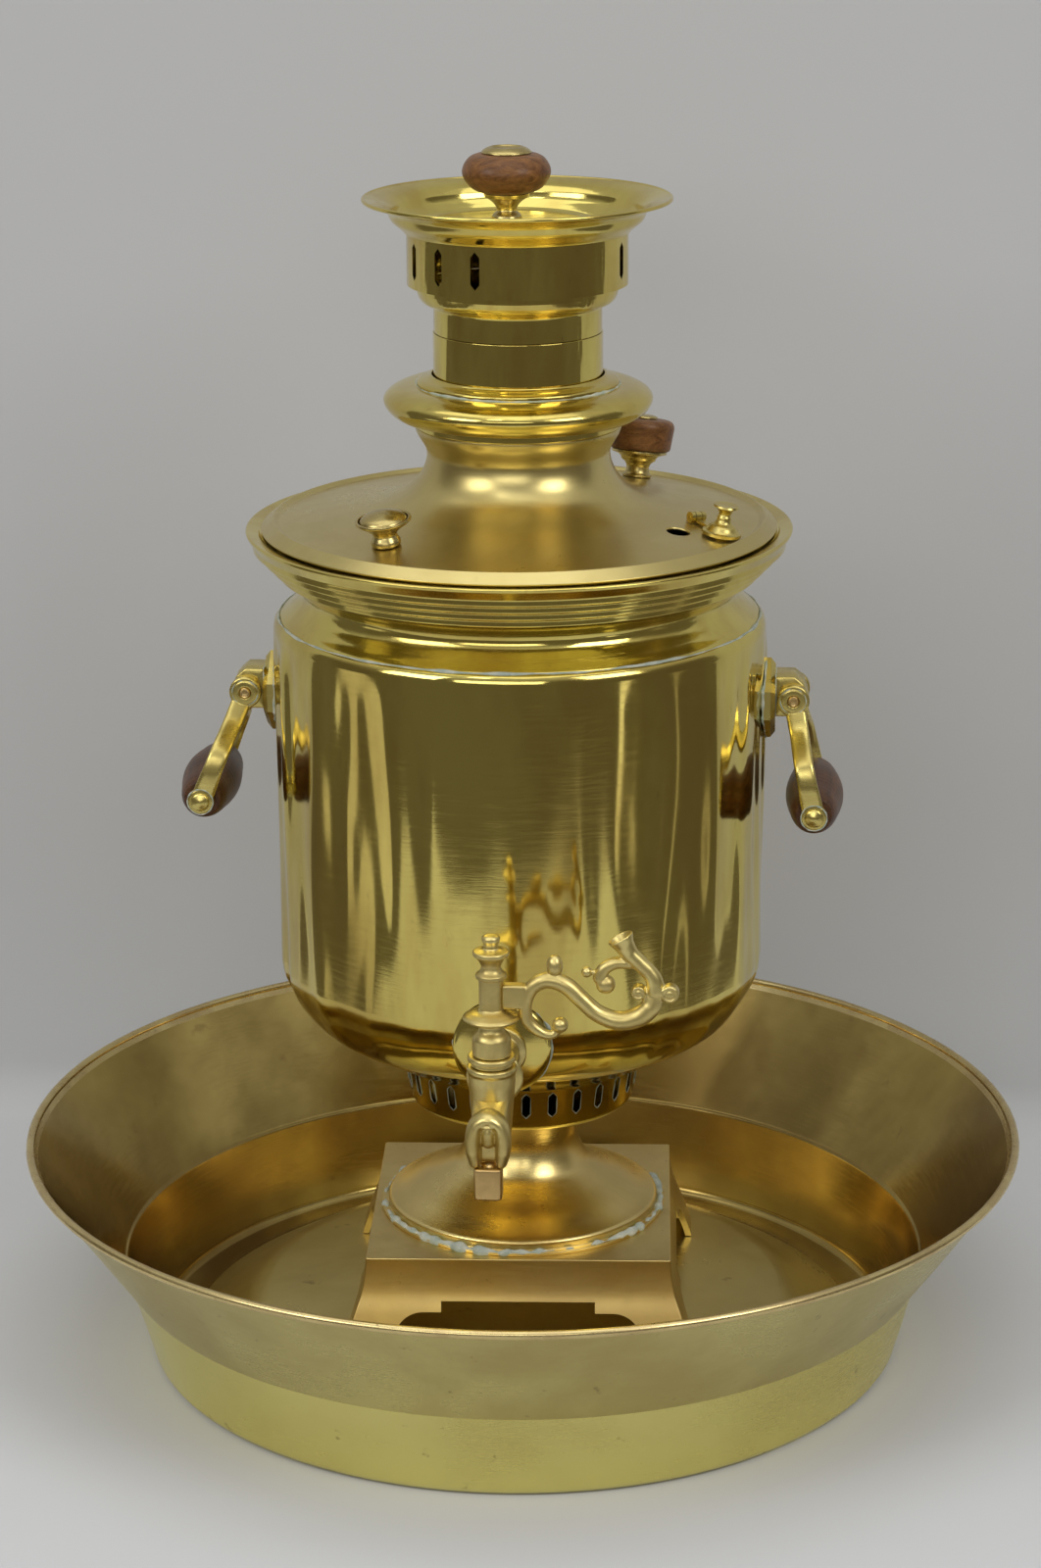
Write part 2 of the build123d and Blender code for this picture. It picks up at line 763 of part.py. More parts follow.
def vent_cap_base():
    """Height of the cap's rim over the vent plane."""
    return seat_gap + 0.6


def make_vent_cap():
    low, radius = vent_cap_base(), vent_cap_radius
    rim = (radius, low + 1.3)
    shoulder = (radius - 1.0, low + 1.6)
    neck = (3.0, low + vent_cap_height)
    dome = [
        line((0, low), (radius, low)),
        line((radius, low), rim),
        line(rim, shoulder),
        curve(shoulder, neck, (0.45, 0.42), (0.8, 0.62), leave=(-1, 0.5), arrive=(-0.1, 1)),
        line(neck, (0, neck[1])),
    ]
    cap = Pos(hinge_to_cap, 0, 0) * turned(closed(dome))
    cap += rod(vent_plug_radius, (hinge_to_cap, 0, low + 0.5), (hinge_to_cap, 0, -vent_plug_depth))
    half = vent_knuckle_length / 2
    reach = hinge_to_cap - radius / 2
    strap = Pos(reach / 2, 0, low + vent_strap / 2) * Box(reach, vent_knuckle_length, vent_strap)
    cap += strap + across(vent_knuckle_radius, -half, half, hinge_lift)
    cap -= across(vent_pin_radius + running_gap, -half - 1, half + 1, hinge_lift)
    return vent_plane * cap


def make_vent_cap_knob():
    low = vent_cap_base() + vent_cap_height
    radius = vent_knob_radius
    runs = [
        line((0, low), (3.2, low)),
        curve((3.2, low), (2.6, low + 2.0), leave=(0.2, 1), arrive=(0, 1)),
        curve((2.6, low + 2.0), (radius, low + 5.2), leave=(0.2, 1), arrive=(1, 0.5)),
        line((radius, low + 5.2), (radius - 0.4, low + 6.0)),
        line((radius - 0.4, low + 6.0), (0, low + 5.8)),
    ]
    return vent_plane * (Pos(hinge_to_cap, 0, 0) * turned(closed(runs)))


# ---- crown and chimney cap ------------------------------------------------------------------
def make_crown_spigot():
    """Sleeve that goes down into the fire tube, soldered inside the crown's neck."""
    outer, inner = crown_spigot_radius, crown_spigot_radius - crown_wall
    low, high = crown_z - crown_spigot_depth, crown_z + crown_sleeve_height
    return turned(polygon((outer, low), (outer, high), (inner, high), (inner, low)))


def make_crown_neck():
    """Neck of the crown, standing on the tube's edge and widening to a bead."""
    neck_top = (crown_neck_radius, crown_z + crown_neck_height)
    bead = (crown_bead_radius, crown_z + crown_bead_level)
    runs = [
        line((crown_neck_radius, crown_z), neck_top),
        curve(neck_top, bead, (0.5, 0.3), leave=(0.1, 1), arrive=(0.2, 1)),
        line(bead, (crown_bead_radius, crown_band_floor - solder_gap)),
    ]
    return turned(sheet(runs, crown_wall))


def make_crown_band():
    """Slotted band on the neck, with a narrow floor that is soldered to the bead."""
    runs = [
        line((crown_bead_radius - crown_wall, crown_band_floor), (crown_band_radius, crown_band_floor)),
        line((crown_band_radius, crown_band_floor), (crown_band_radius, dish_z)),
    ]
    groups = [crown_slot_start, crown_slot_start + 180]
    angles = [start + index * crown_slot_pitch for start in groups for index in range(crown_slots_per_side)]
    cutters = slot_cutters(
        crown_slot_width,
        crown_slot_height,
        crown_slot_point,
        crown_z + crown_band_level + crown_band_height / 2,
        crown_band_radius - 6,
        crown_band_radius + 6,
        angles,
    )
    return turned(sheet(runs, crown_wall)) - cutters


def make_crown_dish():
    start = (flue_radius, dish_z)
    corner = (crown_band_radius + 1.0, dish_z)
    cove = (dish_cove_radius, dish_z + dish_cove_level)
    rim = (dish_rim_radius, dish_z + dish_height)
    runs = [
        line(start, corner),
        curve(corner, cove, (0.35, 0.3), (0.8, 0.62), leave=(0.3, 1), arrive=(0.35, 1)),
        curve(cove, rim, (0.3, 0.55), leave=(0.8, 1), arrive=(1, 0.25)),
    ]
    roll = Pos(0, 0, rim[1] + crown_wall / 2) * Torus(dish_rim_radius, dish_rim_roll)
    return turned(sheet(runs, crown_wall)) + roll


def make_cap_plate():
    low, radius, plug = cap_z, cap_plate_radius, cap_plug_radius
    rest = dish_z + crown_wall + seat_gap
    under = dish_z
    runs = [
        line((0, low + 1.2), (radius - 1.5, low + 1.2)),
        line((radius - 1.5, low + 1.2), (radius, low + 2.2)),
        line((radius, low + 2.2), (radius, rest)),
        line((radius, rest), (radius - 1.5, rest)),
        line((radius - 1.5, rest), (radius - 1.5, low)),
        line((radius - 1.5, low), (plug, low)),
        line((plug, low), (plug, under - cap_plug_depth)),
        line((plug, under - cap_plug_depth), (plug - 1.2, under - cap_plug_depth)),
        line((plug - 1.2, under - cap_plug_depth), (plug - 1.2, low)),
        line((plug - 1.2, low), (0, low)),
    ]
    return Pos(cap_offset, 0, 0) * turned(closed(runs))


def make_cap_stem():
    low = cap_z + 1.2
    top = low + cap_stem_height
    waist, cup = cap_stem_waist, cap_cup_radius
    tenon_top = top + cap_wood_height
    runs = [
        line((0, low), (waist + 1.6, low)),
        curve((waist + 1.6, low), (waist - 0.4, low + 0.42 * cap_stem_height), (-0.1, 0.5), leave=(0.3, 1), arrive=(-0.2, 1)),
        curve((waist - 0.4, low + 0.42 * cap_stem_height), (cup, low + 0.86 * cap_stem_height), (0.3, 0.55), leave=(0, 1), arrive=(1, 0.4)),
        line((cup, low + 0.86 * cap_stem_height), (cup + 0.6, top)),
        line((cup + 0.6, top), (tenon_radius, top)),
        line((tenon_radius, top), (tenon_radius, tenon_top)),
        line((tenon_radius, tenon_top), (0, tenon_top)),
    ]
    return Pos(cap_offset, 0, 0) * turned(closed(runs))


def make_cap_knob():
    low = cap_z + 1.2 + cap_stem_height + solder_gap
    top = low + cap_wood_height - solder_gap
    bore = tenon_radius + solder_gap
    radius = cap_wood_radius
    foot, head = cap_cup_radius + 0.8, cap_button_radius + 0.6
    middle = low + 0.53 * cap_wood_height
    runs = [
        line((bore, low), (foot, low)),
        curve((foot, low), (radius, middle), (0.66, 0.32), leave=(1, 0.2), arrive=(0, 1)),
        curve((radius, middle), (head, top), (0.34, 0.72), leave=(0, 1), arrive=(-1, 0.2)),
        line((head, top), (bore, top)),
    ]
    return Pos(cap_offset, 0, 0) * turned(closed(runs))


def make_cap_button():
    low = cap_z + 1.2 + cap_stem_height + cap_wood_height + solder_gap
    radius, high = cap_button_radius, cap_button_height
    runs = [
        line((0, low), (radius, low)),
        curve((radius, low), (radius - 1.4, low + 0.6 * high), leave=(0, 1), arrive=(-1, 0.5)),
        curve((radius - 1.4, low + 0.6 * high), (radius - 4, low + high), leave=(-1, 0.6), arrive=(-1, 0)),
        line((radius - 4, low + high), (radius - 5, low + 0.7 * high)),
        line((radius - 5, low + 0.7 * high), (0, low + 0.7 * high)),
    ]
    return Pos(cap_offset, 0, 0) * turned(closed(runs))


# ---- handles, drawn for the +X side ---------------------------------------------------------
def make_escutcheon():
    """Pointed plate soldered to the vessel's side, its back shaped to the vessel."""
    high, wide = plate_half_height, plate_half_width
    outline = polygon(
        (0, -high),
        (wide, -0.35 * high),
        (wide, 0.35 * high),
        (0, high),
        (-wide, 0.35 * high),
        (-wide, -0.35 * high),
    )
    plate = extrude(Plane.YZ * outline, vessel_top_radius + plate_stand)
    bevel = chamfer(plate.edges().filter_by(GeomType.LINE).group_by(Axis.X)[-1], 0.45 * plate_stand)
    return (Pos(0, 0, hinge_height - 2) * bevel) - vessel_core(solder_gap)


def make_hinge_block():
    face = vessel_top_radius + plate_stand
    nose = hinge_reach
    length, high = 2 * block_half_length, 2 * block_half_height
    body = Pos((face + nose) / 2, 0, hinge_height + 0.8) * Box(nose - face, length, high)
    knuckle = rod(eye_radius - 0.6, (nose, -length / 2, hinge_height), (nose, length / 2, hinge_height))
    bore = rod(hinge_pin_radius + running_gap, (nose, -length, hinge_height), (nose, length, hinge_height))
    return body + knuckle - bore


def make_hinge_pin():
    half = block_half_length + seat_gap + eye_thickness + 0.5
    return rod(hinge_pin_radius, (hinge_reach, -half, hinge_height), (hinge_reach, half, hinge_height))


def hung(shape, lean):
    """A piece of the bail, drawn hanging from the origin, hung on the hinge pin at a lean."""
    return Pos(hinge_reach, 0, hinge_height) * (Rot(0, -lean, 0) * shape)


def make_bail(lean):
    eye_mid = block_half_length + seat_gap + eye_thickness / 2
    ring_mid = bail_half_width
    path = Spline(
        (0, eye_mid, -eye_radius / 2),
        (0, eye_mid + 0.28 * (ring_mid - eye_mid), -0.3 * bail_length),
        (0, 1.035 * ring_mid, -0.66 * bail_length),
        (0, ring_mid, bail_ring_radius / 3 - bail_length),
        tangents=((0, 0.1, -1), (0, -0.12, -1)),
    )
    start = Plane(origin=path @ 0, x_dir=(1, 0, 0), z_dir=path % 0)
    strap = sweep(start * RectangleRounded(bail_strap_width, bail_strap_thickness, 0.32 * bail_strap_thickness), path)
    eye = rod(eye_radius, (0, eye_mid - eye_thickness / 2, 0), (0, eye_mid + eye_thickness / 2, 0))
    half_ring = bail_ring_thickness / 2
    ring = rod(bail_ring_radius, (0, ring_mid - half_ring, -bail_length), (0, ring_mid + half_ring, -bail_length))
    arm = strap + eye + ring
    arm -= rod(hinge_pin_radius + running_gap, (0, 0, 0), (0, 2 * ring_mid, 0))
    arm -= rod(rod_radius + running_gap, (0, 0, -bail_length), (0, 2 * ring_mid, -bail_length))
    block_room = rod(eye_radius + 1, (0, 0, 0), (0, block_half_length + seat_gap, 0))
    arm -= block_room
    return hung(arm, lean), hung(mirror(arm, Plane.XZ), lean)


def make_grip(lean):
    half = bail_half_width - bail_ring_thickness / 2 - seat_gap
    bore = rod_radius + solder_gap
    runs = [
        line((bore, -half), (grip_end_radius - 1, -half)),
        curve((grip_end_radius - 1, -half), (grip_end_radius, 1.2 - half), leave=(1, 0), arrive=(0.5, 1)),
        curve((grip_end_radius, 1.2 - half), (grip_radius, 0), (0.62, 0.42), leave=(0.5, 1), arrive=(0, 1)),
        curve((grip_radius, 0), (grip_end_radius, half - 1.2), (0.38, 0.58), leave=(0, 1), arrive=(-0.5, 1)),
        curve((grip_end_radius, half - 1.2), (grip_end_radius - 1, half), leave=(-0.5, 1), arrive=(-1, 0)),
        line((grip_end_radius - 1, half), (bore, half)),
    ]
    grip = Rot(90, 0, 0) * turned(closed(runs))
    return hung(Pos(0, 0, -bail_length) * grip, lean)


def make_grip_rod(lean):
    half = bail_half_width + bail_ring_thickness / 2
    return hung(rod(rod_radius, (0, -half, -bail_length), (0, half, -bail_length)), lean)


def make_rod_nuts(lean):
    """Domed nuts on both ends of the grip's rod."""
    start = bail_half_width + bail_ring_thickness / 2
    radius, high = rod_nut_radius, rod_nut_height
    runs = [
        line((0, start), (radius, start)),
        curve((radius, start), (0, start + high), (0.3, 0.62), leave=(0, 1), arrive=(-1, 0)),
    ]
    nut = Rot(-90, 0, 0) * turned(closed(runs))
    nut = Pos(0, 0, -bail_length) * nut
    return hung(nut, lean), hung(mirror(nut, Plane.XZ), lean)


# ---- tap ------------------------------------------------------------------------------------
def at_tap(shape):
    """A piece drawn about the plug's axis, with its zero at the shank's centre line."""
    return Pos(0, -tap_reach, tap_height) * shape


def make_tap_escutcheon():
    """Domed plate between the vessel and the tap's shank, its back shaped to the bowl."""
    face = vessel_radius + tap_plate_dome
    radius = tap_plate_radius
    runs = [
        line((0, -vessel_radius / 2), (radius, -vessel_radius / 2)),
        line((radius, -vessel_radius / 2), (radius, face - 3.6)),
        curve((radius, face - 3.6), (shank_radius, face), (0.35, 0.62), leave=(-0.6, 1), arrive=(-1, 0.1)),
        line((shank_radius, face), (0, face)),
    ]
    plate = Pos(0, 0, tap_height) * (Rot(90, 0, 0) * turned(closed(runs)))
    bore = rod(shank_tail_radius + solder_gap, (0, 0, tap_height), (0, -2 * face, tap_height))
    return plate - vessel_core(solder_gap) - bore


def make_tap_body():
    wall = tap_reach - vessel_radius - tap_plate_dome - solder_gap
    nut_face = tap_reach - vessel_radius + 12
    rim = 1.07 * barrel_radius
    housing = [
        line((0, -barrel_drop), (barrel_foot_radius - 0.6, -barrel_drop)),
        line((barrel_foot_radius - 0.6, -barrel_drop), (barrel_foot_radius, 0.6 - barrel_drop)),
        line((barrel_foot_radius, 0.6 - barrel_drop), (barrel_radius, 0.3 * barrel_rise)),
        line((barrel_radius, 0.3 * barrel_rise), (barrel_radius, 0.72 * barrel_rise)),
        line((barrel_radius, 0.72 * barrel_rise), (rim, 0.8 * barrel_rise)),
        line((rim, 0.8 * barrel_rise), (rim, 0.96 * barrel_rise)),
        line((rim, 0.96 * barrel_rise), (0.96 * rim, barrel_rise)),
        line((0.96 * rim, barrel_rise), (0, barrel_rise)),
    ]
    body = turned(closed(housing))
    body += rod(shank_radius, (0, 0, 0), (0, wall, 0))
    body += rod(shank_tail_radius, (0, 0, 0), (0, nut_face, 0))
    body += rod(shank_ring_radius, (0, barrel_radius + 3, 0), (0, barrel_radius + 5.4, 0))
    body += rod(shank_ring_radius - 2, (0, barrel_radius + 5.4, 0), (0, barrel_radius + 9, 0))
    body += rod(shank_ring_radius - 1, (0, wall - 3.2, 0), (0, wall, 0))
    body -= plug_room(running_gap)
    body -= rod(flow_radius, (0, -2 * barrel_radius, 0), (0, nut_face + 1, 0))
    return at_tap(body)


def plug_room(gap):
    """The tapered plug, grown by a gap."""
    return turned(
        polygon(
            (0, -barrel_drop),
            (plug_bottom_radius + gap, -barrel_drop),
            (plug_top_radius + gap, barrel_rise),
            (0, barrel_rise),
        )
    )


def make_tap_nut():
    nut = Plane.XZ * (RegularPolygon(tap_nut_radius, 6) - Circle(shank_tail_radius + solder_gap))
    seat = vessel_radius - vessel_wall - 3.5
    return Pos(0, tap_nut_thickness - seat, tap_height) * extrude(nut, tap_nut_thickness)


def hood_outline(half, low, high):
    """Tall arch with a flat foot."""
    spring = low + 0.38 * (high - low)
    right = [
        line((0, low), (half, low)),
        line((half, low), (half, spring)),
        curve((half, spring), (0, high), (0.28, 0.68), leave=(0, 1), arrive=(-1, 0)),
    ]
    half_arch = closed(right)
    return half_arch + mirror(half_arch, Plane.YZ)


def hood_slot(half, low, high):
    """Upright slot with a square head, flared towards the hood's foot."""
    flare = hood_slot_flare
    knee = low + 0.42 * (high - low)
    right = [(half, knee), (half, high - 1), (half - 1, high)]
    return polygon((flare, low), *right, *[(-x, z) for x, z in reversed(right)], (-half, low))


def hood_sides():
    """Distances from the plug's axis to the hood's back and front."""
    return hood_reach - hood_depth / 2, hood_reach + hood_depth / 2


def spout_point(out):
    """Point on the spout's sloping centre line, out from the plug's axis."""
    return 0, -out, spout_start - out * tan(radians(spout_slope))


def make_tap_spout():
    back, front = hood_sides()
    low, high = -hood_drop, -1.0
    slot_top = high - 4.2
    neck = rod(spout_radius, spout_point(0), spout_point(1.3 * front))
    neck -= Pos(0, -2 * front, 0) * Box(4 * front, 2 * front, 4 * front)
    arch = extrude(Plane.XZ.offset(back) * hood_outline(hood_half_width, low, high), hood_depth)
    half = hood_slot_width / 2
    slot = extrude(Plane.XZ.offset(front - 0.55 * hood_depth) * hood_slot(half, low - 1, slot_top), hood_depth)
    tongue_low = slot_top - tongue_height
    tongue_outline = polygon((-half, tongue_low), (half, tongue_low), (half, slot_top), (-half, slot_top))
    tongue = extrude(Plane.XZ.offset(back) * tongue_outline, 0.9 * hood_depth)
    spout = neck + arch - slot + tongue
    spout -= Cylinder(barrel_radius + solder_gap, 4 * barrel_drop)
    turn_at = spout_point(back + flow_radius + 0.8)
    spout -= rod(flow_radius, (0, -0.8 * barrel_radius, 0), turn_at)
    spout -= rod(flow_radius, turn_at, (turn_at[0], turn_at[1], 2 * low))
    spout -= Pos(*turn_at) * Sphere(flow_radius)
    return at_tap(spout)


def make_tap_outlet():
    centre = -(hood_sides()[0] + flow_radius + 0.8)
    profile = RectangleRounded(outlet_width, outlet_width, 2.5) - Circle(outlet_bore)
    stub = Pos(0, centre - 1.2, -hood_drop - seat_gap - outlet_height) * extrude(profile, outlet_height)
    return at_tap(stub)


def make_key_washer():
    low = barrel_rise + seat_gap
    ring = polygon(
        (plug_top_radius + seat_gap, low),
        (0.86 * washer_radius, low),
        (0.84 * washer_radius, low + 0.36 * washer_height),
        (washer_radius, low + 0.48 * washer_height),
        (washer_radius, low + 0.86 * washer_height),
        (0.96 * washer_radius, low + washer_height),
        (plug_top_radius + seat_gap, low + washer_height),
    )
    return at_tap(turned(ring))


key_shoulder_z = barrel_rise + washer_height + 2 * seat_gap
key_flange_z = key_shoulder_z + key_shoulder_height
key_stem_z = key_flange_z + key_flange_height
key_collar_z = key_stem_z + key_stem_height
key_top_z = key_collar_z + key_head_height


def make_tap_key():
    shoulder, waist, flange = key_shoulder_radius, key_waist_radius, key_flange_radius
    stem, head = key_stem_radius, key_head_height
    knob, collar = 1.48 * stem, 1.27 * stem
    edge_z = key_shoulder_z + 0.43 * key_shoulder_height
    cone_z = key_shoulder_z + 0.68 * key_shoulder_height
    under_z = key_flange_z - 0.11 * key_shoulder_height
    runs = [
        line((0, -barrel_drop), (plug_bottom_radius, -barrel_drop)),
        line((plug_bottom_radius, -barrel_drop), (plug_top_radius, barrel_rise)),
        line((plug_top_radius, barrel_rise), (plug_top_radius, key_shoulder_z)),
        line((plug_top_radius, key_shoulder_z), (shoulder, key_shoulder_z)),
        line((shoulder, key_shoulder_z), (shoulder, edge_z)),
        curve((shoulder, edge_z), (1.12 * waist, cone_z), (0.3, 0.45), leave=(-0.2, 1), arrive=(-0.3, 1)),
        curve((1.12 * waist, cone_z), (1.3 * waist, under_z), (-0.3, 0.5), leave=(-0.3, 1), arrive=(1, 0.8)),
        curve((1.3 * waist, under_z), (flange, key_flange_z), leave=(1, 0.1), arrive=(0.6, 1)),
        curve((flange, key_flange_z), (stem, key_stem_z), (0.45, 0.5), leave=(-0.4, 1), arrive=(-0.6, 1)),
        line((stem, key_stem_z), (stem, key_collar_z)),
        line((stem, key_collar_z), (collar, key_collar_z + 0.04 * head)),
        line((collar, key_collar_z + 0.04 * head), (collar, key_collar_z + 0.14 * head)),
        curve((collar, key_collar_z + 0.14 * head), (0.8 * stem, key_collar_z + 0.4 * head), (0.7, 0.4), leave=(-0.6, 1), arrive=(0, 1)),
        curve((0.8 * stem, key_collar_z + 0.4 * head), (knob, key_collar_z + 0.76 * head), (0.4, 0.6), leave=(0.2, 1), arrive=(1, 0.7)),
        line((knob, key_collar_z + 0.76 * head), (knob, key_collar_z + 0.86 * head)),
        curve((knob, key_collar_z + 0.86 * head), (0.62 * stem, key_top_z), (0.6, 0.45), leave=(-0.6, 1), arrive=(-0.3, 1)),
        line((0.62 * stem, key_top_z), (0, key_top_z)),
    ]
    key = turned(closed(runs))
    return at_tap(key - rod(flow_radius, (-2 * barrel_radius, 0, 0), (2 * barrel_radius, 0, 0)))


def make_tap_finial():
    radius, neck = 0.74 * key_stem_radius, 0.62 * key_stem_radius
    low, high = key_top_z + solder_gap, finial_height
    runs = [
        line((0, low), (neck, low)),
        curve((neck, low), (radius, low + 0.48 * high), (0.0, 0.5), leave=(-0.2, 1), arrive=(0.8, 1)),
        line((radius, low + 0.48 * high), (radius, low + 0.72 * high)),
        curve((radius, low + 0.72 * high), (0, low + high), (0.3, 0.7), leave=(-0.4, 1), arrive=(-1, 0)),
    ]
    return at_tap(turned(closed(runs)))


# Lever: a flat scroll of round bar in the plane of the tap, out from the key and up.
# Points are distances out from the key's axis and heights over its flange, as shares of its reach.
scroll_points = [(0.413, -0.076), (0.365, -0.106), (0.299, -0.09), (0.221, -0.013), (0.208, 0.1),
                 (0.25, 0.198), (0.342, 0.247), (0.453, 0.217), (0.555, 0.124), (0.648, 0.041),
                 (0.775, -0.004), (0.897, 0.023), (0.972, 0.09), (0.997, 0.157)]
scroll_radii = [0.019, 0.023, 0.029, 0.033, 0.035, 0.039, 0.044, 0.048, 0.046, 0.047, 0.051, 0.057, 0.055, 0.044]
horn_points = [(0.988, 0.108), (1.001, 0.189), (0.994, 0.256), (0.962, 0.311), (0.901, 0.372),
               (0.842, 0.433), (0.811, 0.483), (0.788, 0.528)]
horn_radii = [0.033, 0.049, 0.045, 0.042, 0.045, 0.049, 0.061, 0.083]
sprig_points = [(0.887, 0.369), (0.831, 0.368), (0.757, 0.366), (0.689, 0.328), (0.663, 0.27)]
sprig_radii = [0.029, 0.032, 0.033, 0.036, 0.038]
volute_points = [(0.98, 0.09), (1.023, 0.169), (1.067, 0.224)]
petal_points = [(0.971, 0.084), (0.948, 0.166), (0.91, 0.221)]
curl_radii = [0.047, 0.036, 0.022]
lever_balls = [((0.42, -0.041), 0.05), ((0.698, 0.23), 0.059), ((0.583, 0.305), 0.033)]
lever_rolls = [((1.089, 0.182), 0.057), ((0.898, 0.187), 0.045)]
bud_at = (0.388, 0.342)
bud_size = (0.052, 0.071)


def lever_point(out, up):
    """Point of the lever in the tap's own frame."""
    return Vector(lever_reach * out, 0, key_flange_z + lever_reach * up)


def bar(points, radii):
    """Round bar of changing thickness through points in the lever's plane."""
    spots = [lever_point(*point) for point in points]
    ahead = [b - a for a, b in zip(spots, spots[1:])]
    ways = [ahead[0], *[a.normalized() + b.normalized() for a, b in zip(ahead, ahead[1:])], ahead[-1]]
    planes = [Plane(origin=spot, x_dir=(0, 1, 0), z_dir=way) for spot, way in zip(spots, ways)]
    return loft([plane * Circle(lever_reach * radius) for plane, radius in zip(planes, radii)])


def make_tap_lever():
    lug_low, lug_high, lug_reach = 0.066 * lever_reach, 0.22 * lever_reach, 0.2 * lever_reach
    lug_outline = polygon((0, lug_low), (lug_reach, lug_low), (lug_reach, lug_high), (0, lug_high))
    lug = Pos(0, 0, key_flange_z) * extrude(Plane.XZ.offset(-lever_thickness / 2) * lug_outline, lever_thickness)
    lever = lug - Cylinder(key_stem_radius + solder_gap, 8 * key_flange_z)
    for points, radii in (
        (scroll_points, scroll_radii),
        (horn_points, horn_radii),
        (sprig_points, sprig_radii),
        (volute_points, curl_radii),
        (petal_points, curl_radii),
    ):
        lever += bar(points, radii)
    for spot, radius in lever_balls:
        lever += Pos(*lever_point(*spot)) * Sphere(lever_reach * radius)
    for spot, radius in lever_rolls:
        centre = lever_point(*spot)
        side = Vector(0, lever_thickness / 2, 0)
        lever += rod(lever_reach * radius, centre - side, centre + side)
    egg = scale(Sphere(lever_reach), by=(bud_size[0], bud_size[0], bud_size[1]))
    lever += Pos(*lever_point(*bud_at)) * egg
    lever += rod(0.018 * lever_reach, lever_point(0.66, 0.29), lever_point(0.59, 0.303))
    return at_tap(lever)


# ---- all pieces -----------------------------------------------------------------------------
def handle_nodes(side, lean):
    """The pieces of one handle, turned to its side."""
    pieces = {
        "escutcheon": make_escutcheon(),
        "hinge_block": make_hinge_block(),
        "hinge_pin": make_hinge_pin(),
        "grip": make_grip(lean),
        "grip_rod": make_grip_rod(lean),
    }
    pieces["arm_a"], pieces["arm_b"] = make_bail(lean)
    pieces["rod_nut_a"], pieces["rod_nut_b"] = make_rod_nuts(lean)
    turn = Rot(0, 0, 180 if side == "left" else 0)
    return {f"{side}_{name}": turn * piece for name, piece in pieces.items()}


nodes = {
    "basin": make_basin(),
    "plinth": make_plinth(),
    "pedestal": make_pedestal(),
    "vent_ring": make_vent_ring(),
    "grate": make_grate(),
    "fire_tube": make_fire_tube(),
    "vessel": make_vessel(),
    "neck_ring": make_neck_ring(),
    "lid": make_lid(),
    "lid_skirt": make_lid_skirt(),
    "lid_collar": make_lid_collar(),
    "collar_ring": make_collar_ring(),
    "front_knob_cup": on_lid(make_front_knob_cup(), front_knob_angle),
    "front_knob_button": on_lid(make_front_knob_button(), front_knob_angle),
    "rear_knob_stem": on_lid(make_rear_knob_stem(), rear_knob_angle),
    "rear_knob_wood": on_lid(make_rear_knob_wood(), rear_knob_angle),
    "rear_knob_cap": on_lid(make_rear_knob_cap(), rear_knob_angle),
    "vent_bracket": make_vent_bracket(),
    "vent_pin": make_vent_pin(),
    "vent_cap": make_vent_cap(),
    "vent_cap_knob": make_vent_cap_knob(),
    "crown_spigot": make_crown_spigot(),
    "crown_neck": make_crown_neck(),
    "crown_band": make_crown_band(),
    "crown_dish": make_crown_dish(),
    "cap_plate": make_cap_plate(),
    "cap_stem": make_cap_stem(),
    "cap_knob": make_cap_knob(),
    "cap_button": make_cap_button(),
    "tap_escutcheon": make_tap_escutcheon(),
    "tap_body": make_tap_body(),
    "tap_nut": make_tap_nut(),
    "tap_spout": make_tap_spout(),
    "tap_outlet": make_tap_outlet(),
    "tap_washer": make_key_washer(),
    "tap_key": make_tap_key(),
    "tap_finial": make_tap_finial(),
    "tap_lever": make_tap_lever(),
    **handle_nodes("left", left_lean),
    **handle_nodes("right", right_lean),
}

os.makedirs("parts", exist_ok=True)
for name, piece in nodes.items():
    export_step(piece, f"parts/{name}.step")
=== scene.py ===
import math

import bmesh
import bpy
import numpy as np
from mathutils import Matrix, Vector


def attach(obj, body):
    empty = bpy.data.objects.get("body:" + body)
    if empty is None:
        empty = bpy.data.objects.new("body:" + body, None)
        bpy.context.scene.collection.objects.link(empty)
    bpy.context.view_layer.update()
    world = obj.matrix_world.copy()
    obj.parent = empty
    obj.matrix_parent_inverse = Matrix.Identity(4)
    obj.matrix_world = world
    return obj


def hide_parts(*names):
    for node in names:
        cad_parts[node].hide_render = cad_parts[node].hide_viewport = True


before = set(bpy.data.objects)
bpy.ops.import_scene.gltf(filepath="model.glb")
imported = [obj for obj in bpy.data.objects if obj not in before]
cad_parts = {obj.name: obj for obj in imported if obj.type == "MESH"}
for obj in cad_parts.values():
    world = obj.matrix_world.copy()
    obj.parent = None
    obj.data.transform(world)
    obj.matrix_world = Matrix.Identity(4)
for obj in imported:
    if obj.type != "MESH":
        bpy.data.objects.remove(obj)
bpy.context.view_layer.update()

MM = 0.001
SAMPLES = 14  # points along a flowing run, between two given points
BODY_WALL, THIN_WALL, DISH_WALL = 1.5, 1.3, 1.2  # of sheet
STAND_OFF = 0.3  # solder under a knob


# ---- levels of the samovar, in millimetres ----
FOOT, PLINTH_TOP, VENT_BASE, VESSEL_BASE, SHOULDER = 21.6, 64.5, 119.2, 140.5, 350.4
SEAT, LID, COLLAR, COLLAR_RING, TUBE_TOP = 389.3, 389.6, 436.1, 454.5, 477.8
DISH, CAP = 521.7, 524.4


# ---- small tools ----
def full_turn(count):
    """Even angles, once round."""
    return np.linspace(0, 2 * np.pi, count, endpoint=False)


def spin(axis, degrees):
    """Rotation about an axis of the frame."""
    return Matrix.Rotation(math.radians(degrees), 4, axis)


